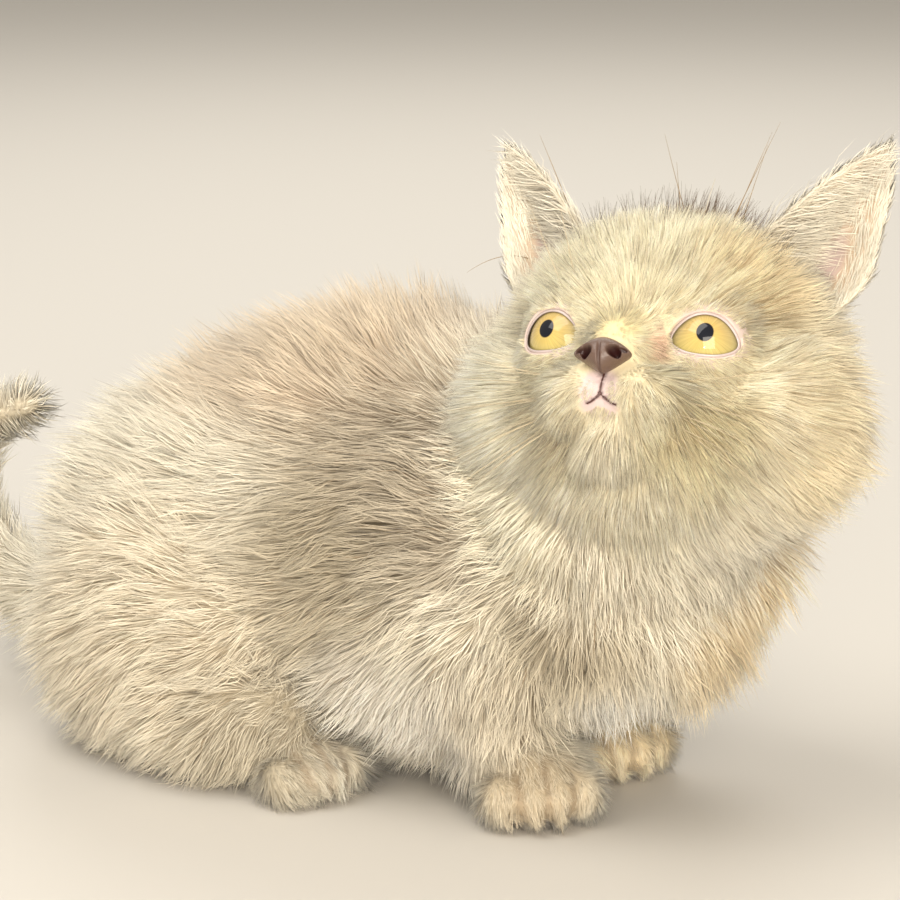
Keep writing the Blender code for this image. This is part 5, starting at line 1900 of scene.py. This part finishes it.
        given = node("NodeGroupInput")
        curves = node("GeometryNodeMeshToCurve", {"Mesh": given.outputs["Geometry"]})
        along = node("GeometryNodeSplineParameter")
        taper = node(
            "ShaderNodeMapRange",
            {"Value": along.outputs["Factor"], "From Min": 0.0, "From Max": 1.0, "To Min": 1.0, "To Max": 0.18},
        )
        radius = node("ShaderNodeMath", {0: taper.outputs["Result"], 1: given.outputs["Thickness"]}, operation="MULTIPLY")
        ring = node("GeometryNodeCurvePrimitiveCircle", {"Resolution": given.outputs["Sides"], "Radius": 1.0})
        sweep = node("GeometryNodeCurveToMesh", {"Curve": curves.outputs["Curve"], "Fill Caps": True})
        if "Scale" in sweep.inputs:
            tree.links.new(radius.outputs["Value"], sweep.inputs["Scale"])
        else:
            sized = node("GeometryNodeSetCurveRadius", {"Curve": curves.outputs["Curve"], "Radius": radius.outputs["Value"]})
            tree.links.new(sized.outputs["Curve"], sweep.inputs["Curve"])
        tree.links.new(ring.outputs["Curve"], sweep.inputs["Profile Curve"])
        real = node("GeometryNodeRealizeInstances", {"Geometry": sweep.outputs["Mesh"]})
        dressed = node("GeometryNodeSetMaterial", {"Geometry": real.outputs["Geometry"], "Material": material})
        node("NodeGroupOutput", {"Geometry": dressed.outputs["Geometry"]})
        return tree

    def swept(self, name: str, lines: list[np.ndarray], thickness: float, sides: int,
              finish: "WhiskerFinish") -> bpy.types.Object:
        """Hairs along lines as one plain mesh.

        Args:
            name: The piece's name.
            lines: The hairs' middle lines.
            thickness: A hair's radius at its root.
            sides: How many sides a hair has.
            finish: What the hairs are made of.

        Returns:
            The hairs.
        """
        shape = bmesh.new()
        for line in lines:
            verts = [shape.verts.new(point) for point in line]
            for first, second in zip(verts, verts[1:]):
                shape.edges.new((first, second))
        obj = object_of(name, shape)
        tree = self.tree(finish.material(name))
        modifier = obj.modifiers.new("Hairs", "NODES")
        modifier.node_group = tree
        named = {item.name: item.identifier for item in tree.interface.items_tree if item.in_out == "INPUT"}
        modifier[named["Thickness"]] = thickness
        modifier[named["Sides"]] = sides
        return settle(obj)

    def build(self) -> list[bpy.types.Object]:
        """The long hairs, and the dark hairs on the crown."""
        crown = WhiskerFinish("#6E5439", "#3F2E1F")
        wisp = WhiskerFinish("#A88F66", "#6B5238")
        return [
            self.swept("whiskers", self.lines(), self.thickness, self.sides, WhiskerFinish()),
            self.swept("crown_wisps", self.wisp_lines(), self.thickness, self.sides, wisp),
            self.swept("crown_hairs", [line[::2] for line in self.crown_lines()], self.crown_thickness, 3, crown),
        ]


@dataclass(frozen=True)
class WhiskerFinish:
    """Whisker hair: smooth, springy and horn-like, nearly white with a soft shine."""

    colour: str = "#D8CBAE"
    dark: str = "#A08A64"
    roughness: float = 0.35

    def material(self, name: str) -> bpy.types.Material:
        """The finish of the long hairs."""
        shader = Shader(name)
        place = shader.node("ShaderNodeTexCoord")
        noise = shader.node("ShaderNodeTexNoise", {"Vector": place.outputs["Object"], "Scale": 120.0})
        ramp = shader.node("ShaderNodeMix", data_type="RGBA")
        shader.tree.links.new(noise.outputs["Fac"], ramp.inputs[0])
        ramp.inputs[6].default_value = rgba(self.dark)
        ramp.inputs[7].default_value = rgba(self.colour)
        shader.set(Base_Color=ramp.outputs[2], Roughness=self.roughness)
        return shader.material


@dataclass
class Studio:
    """A plain pale floor, soft light from large panels, and the camera at the photograph's angle."""

    azimuth: float = 31.0
    elevation: float = 14.0
    distance: float = 0.62
    focal_pixels: float = 3100.0
    picture: float = 900.0
    pin: Vector = field(default_factory=lambda: Vector((48.0, -20.0, 0.0)) * MM)
    pin_pixel: tuple[float, float] = (540.0, 822.0)
    sensor: float = 36.0

    def view_axes(self) -> tuple[Vector, Vector, Vector]:
        """The camera's backward, rightward and upward directions."""
        a, e = math.radians(self.azimuth), math.radians(self.elevation)
        back = Vector((math.sin(a) * math.cos(e), -math.cos(a) * math.cos(e), math.sin(e)))
        right = Vector((math.cos(a), math.sin(a), 0.0))
        return back, right, back.cross(right)

    def camera(self, shift: Vector) -> bpy.types.Object:
        """The camera, placed so that the right front paw stands at its own pixel."""
        back, right, up = self.view_axes()
        lens = bpy.data.cameras.new("camera")
        lens.sensor_width = self.sensor
        lens.lens = self.focal_pixels / self.picture * self.sensor
        lens.clip_start, lens.clip_end = 0.01, 20.0
        obj = bpy.data.objects.new("camera", lens)
        bpy.context.scene.collection.objects.link(obj)
        scale = self.distance / self.focal_pixels
        sideways = (self.pin_pixel[0] - self.picture / 2) * scale
        upwards = (self.pin_pixel[1] - self.picture / 2) * scale
        obj.location = self.pin + shift + back * self.distance - right * sideways + up * upwards
        obj.rotation_mode = "QUATERNION"
        obj.rotation_quaternion = (-back).to_track_quat("-Z", "Y")
        bpy.context.scene.camera = obj
        return obj

    def panel(self, name: str, azimuth: float, elevation: float, distance: float, size: float,
              power: float, colour: str) -> None:
        """A square soft light that looks at the cat.

        Args:
            name: The light's name.
            azimuth: Its angle round the cat, counted as the camera's is.
            elevation: Its angle above the floor.
            distance: How far it is, in metres.
            size: Its side, in metres.
            power: Its power, in watts.
            colour: Its colour.
        """
        a, e = math.radians(azimuth), math.radians(elevation)
        out = Vector((math.sin(a) * math.cos(e), -math.cos(a) * math.cos(e), math.sin(e)))
        light = bpy.data.lights.new(name, "AREA")
        light.size = size
        light.energy = power
        light.color = linear(colour)
        obj = bpy.data.objects.new(name, light)
        bpy.context.scene.collection.objects.link(obj)
        obj.location = Vector((0, 0, 0.06)) + out * distance
        obj.rotation_mode = "QUATERNION"
        obj.rotation_quaternion = (-out).to_track_quat("-Z", "Y")

    def floor(self) -> bpy.types.Object:
        """A wide floor of smooth pale paper."""
        shape = bmesh.new()
        bmesh.ops.create_circle(shape, cap_ends=True, segments=64, radius=6.0)
        obj = object_of("floor", shape)
        shader = Shader("pale_paper")
        place = shader.node("ShaderNodeTexCoord")
        noise = shader.node("ShaderNodeTexNoise", {"Vector": place.outputs["Object"], "Scale": 400.0, "Detail": 3.0})
        bump = shader.node("ShaderNodeBump", {"Height": noise.outputs["Fac"], "Distance": 0.05 * MM, "Strength": 0.2})
        shader.set(Base_Color=rgba("#CBC6BE"), Roughness=0.7, Normal=bump.outputs["Normal"])
        obj.data.materials.append(shader.material)
        return obj

    def build(self, shift: Vector) -> None:
        """Sets up the whole studio."""
        self.floor()
        self.camera(shift)
        self.panel("key_panel", 38, 16, 1.1, 0.7, 12.6, "#FFF6E8")
        self.panel("top_panel", -25, 62, 1.2, 0.9, 10.2, "#FFFCF6")
        self.panel("back_panel", 205, 42, 1.2, 0.8, 6.0, "#FFFDF8")
        self.panel("catch_panel", 27, 3, 0.7, 0.05, 0.22, "#FFFFFF")
        world = bpy.data.worlds.new("soft_room")
        bpy.context.scene.world = world
        world.use_nodes = True
        sky = world.node_tree.nodes["Background"]
        sky.inputs["Color"].default_value = rgba("#F0EAE0")
        sky.inputs["Strength"].default_value = 0.62
        bpy.context.scene.view_settings.view_transform = "Standard"


def main() -> None:
    """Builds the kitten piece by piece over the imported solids, and then the studio."""
    logging.basicConfig(level=logging.INFO, format="%(message)s")
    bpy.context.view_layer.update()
    head, tail, limbs = Head(), Tail(), Limbs()
    body = Body(head, tail, limbs)
    low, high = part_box("eye_right")
    shift = (low + high) / 2 - head.eye_frame(SIDES["right"]).to_translation()
    markings_and_painted_light = MarkingsAndPaintedLight(head, limbs)
    skin_maker = Skin(body, markings_and_painted_light)
    skin = skin_maker.build()
    pieces = Coat(body, markings_and_painted_light, Ground.of(skin), skin_maker.lips, share=1.0).grow()
    eyes = Eyes(head).build()
    nose = Nose(head).build()
    ears_maker = Ears(head)
    ears, ear_coats = {}, {}
    for name, side in SIDES.items():
        ears[name] = ears_maker.build(name, side)
        ear_coats[name] = ears_maker.coat(name, side, ears[name])
    lips, hairs = skin_maker.lip_lines(), Whiskers(head).build()
    move = Matrix.Translation(shift)
    for obj in (skin, nose, *lips, *hairs, *pieces, *eyes.values(), *ears.values(), *ear_coats.values()):
        obj.data.transform(move)
    finish_piece(skin, Slot.FUR, *FLESH_NODES)
    for piece in pieces:
        finish_piece(piece, Slot.PAW if "paws" in piece.name else Slot.FUR)
    for name in SIDES:
        finish_piece(eyes[f"ball_{name}"], Slot.EYE, f"eye_{name}")
        finish_piece(eyes[f"rim_{name}"], Slot.NOSE)
        finish_piece(ears[name], Slot.EAR, f"ear_{name}")
        finish_piece(ear_coats[name], Slot.FUR)
    finish_piece(nose, Slot.NOSE, "nose")
    for piece in (*lips, *hairs):
        finish_piece(piece, Slot.NOSE if piece in lips else Slot.FUR)
    Studio().build(shift)


if __name__ == "__main__":
    main()
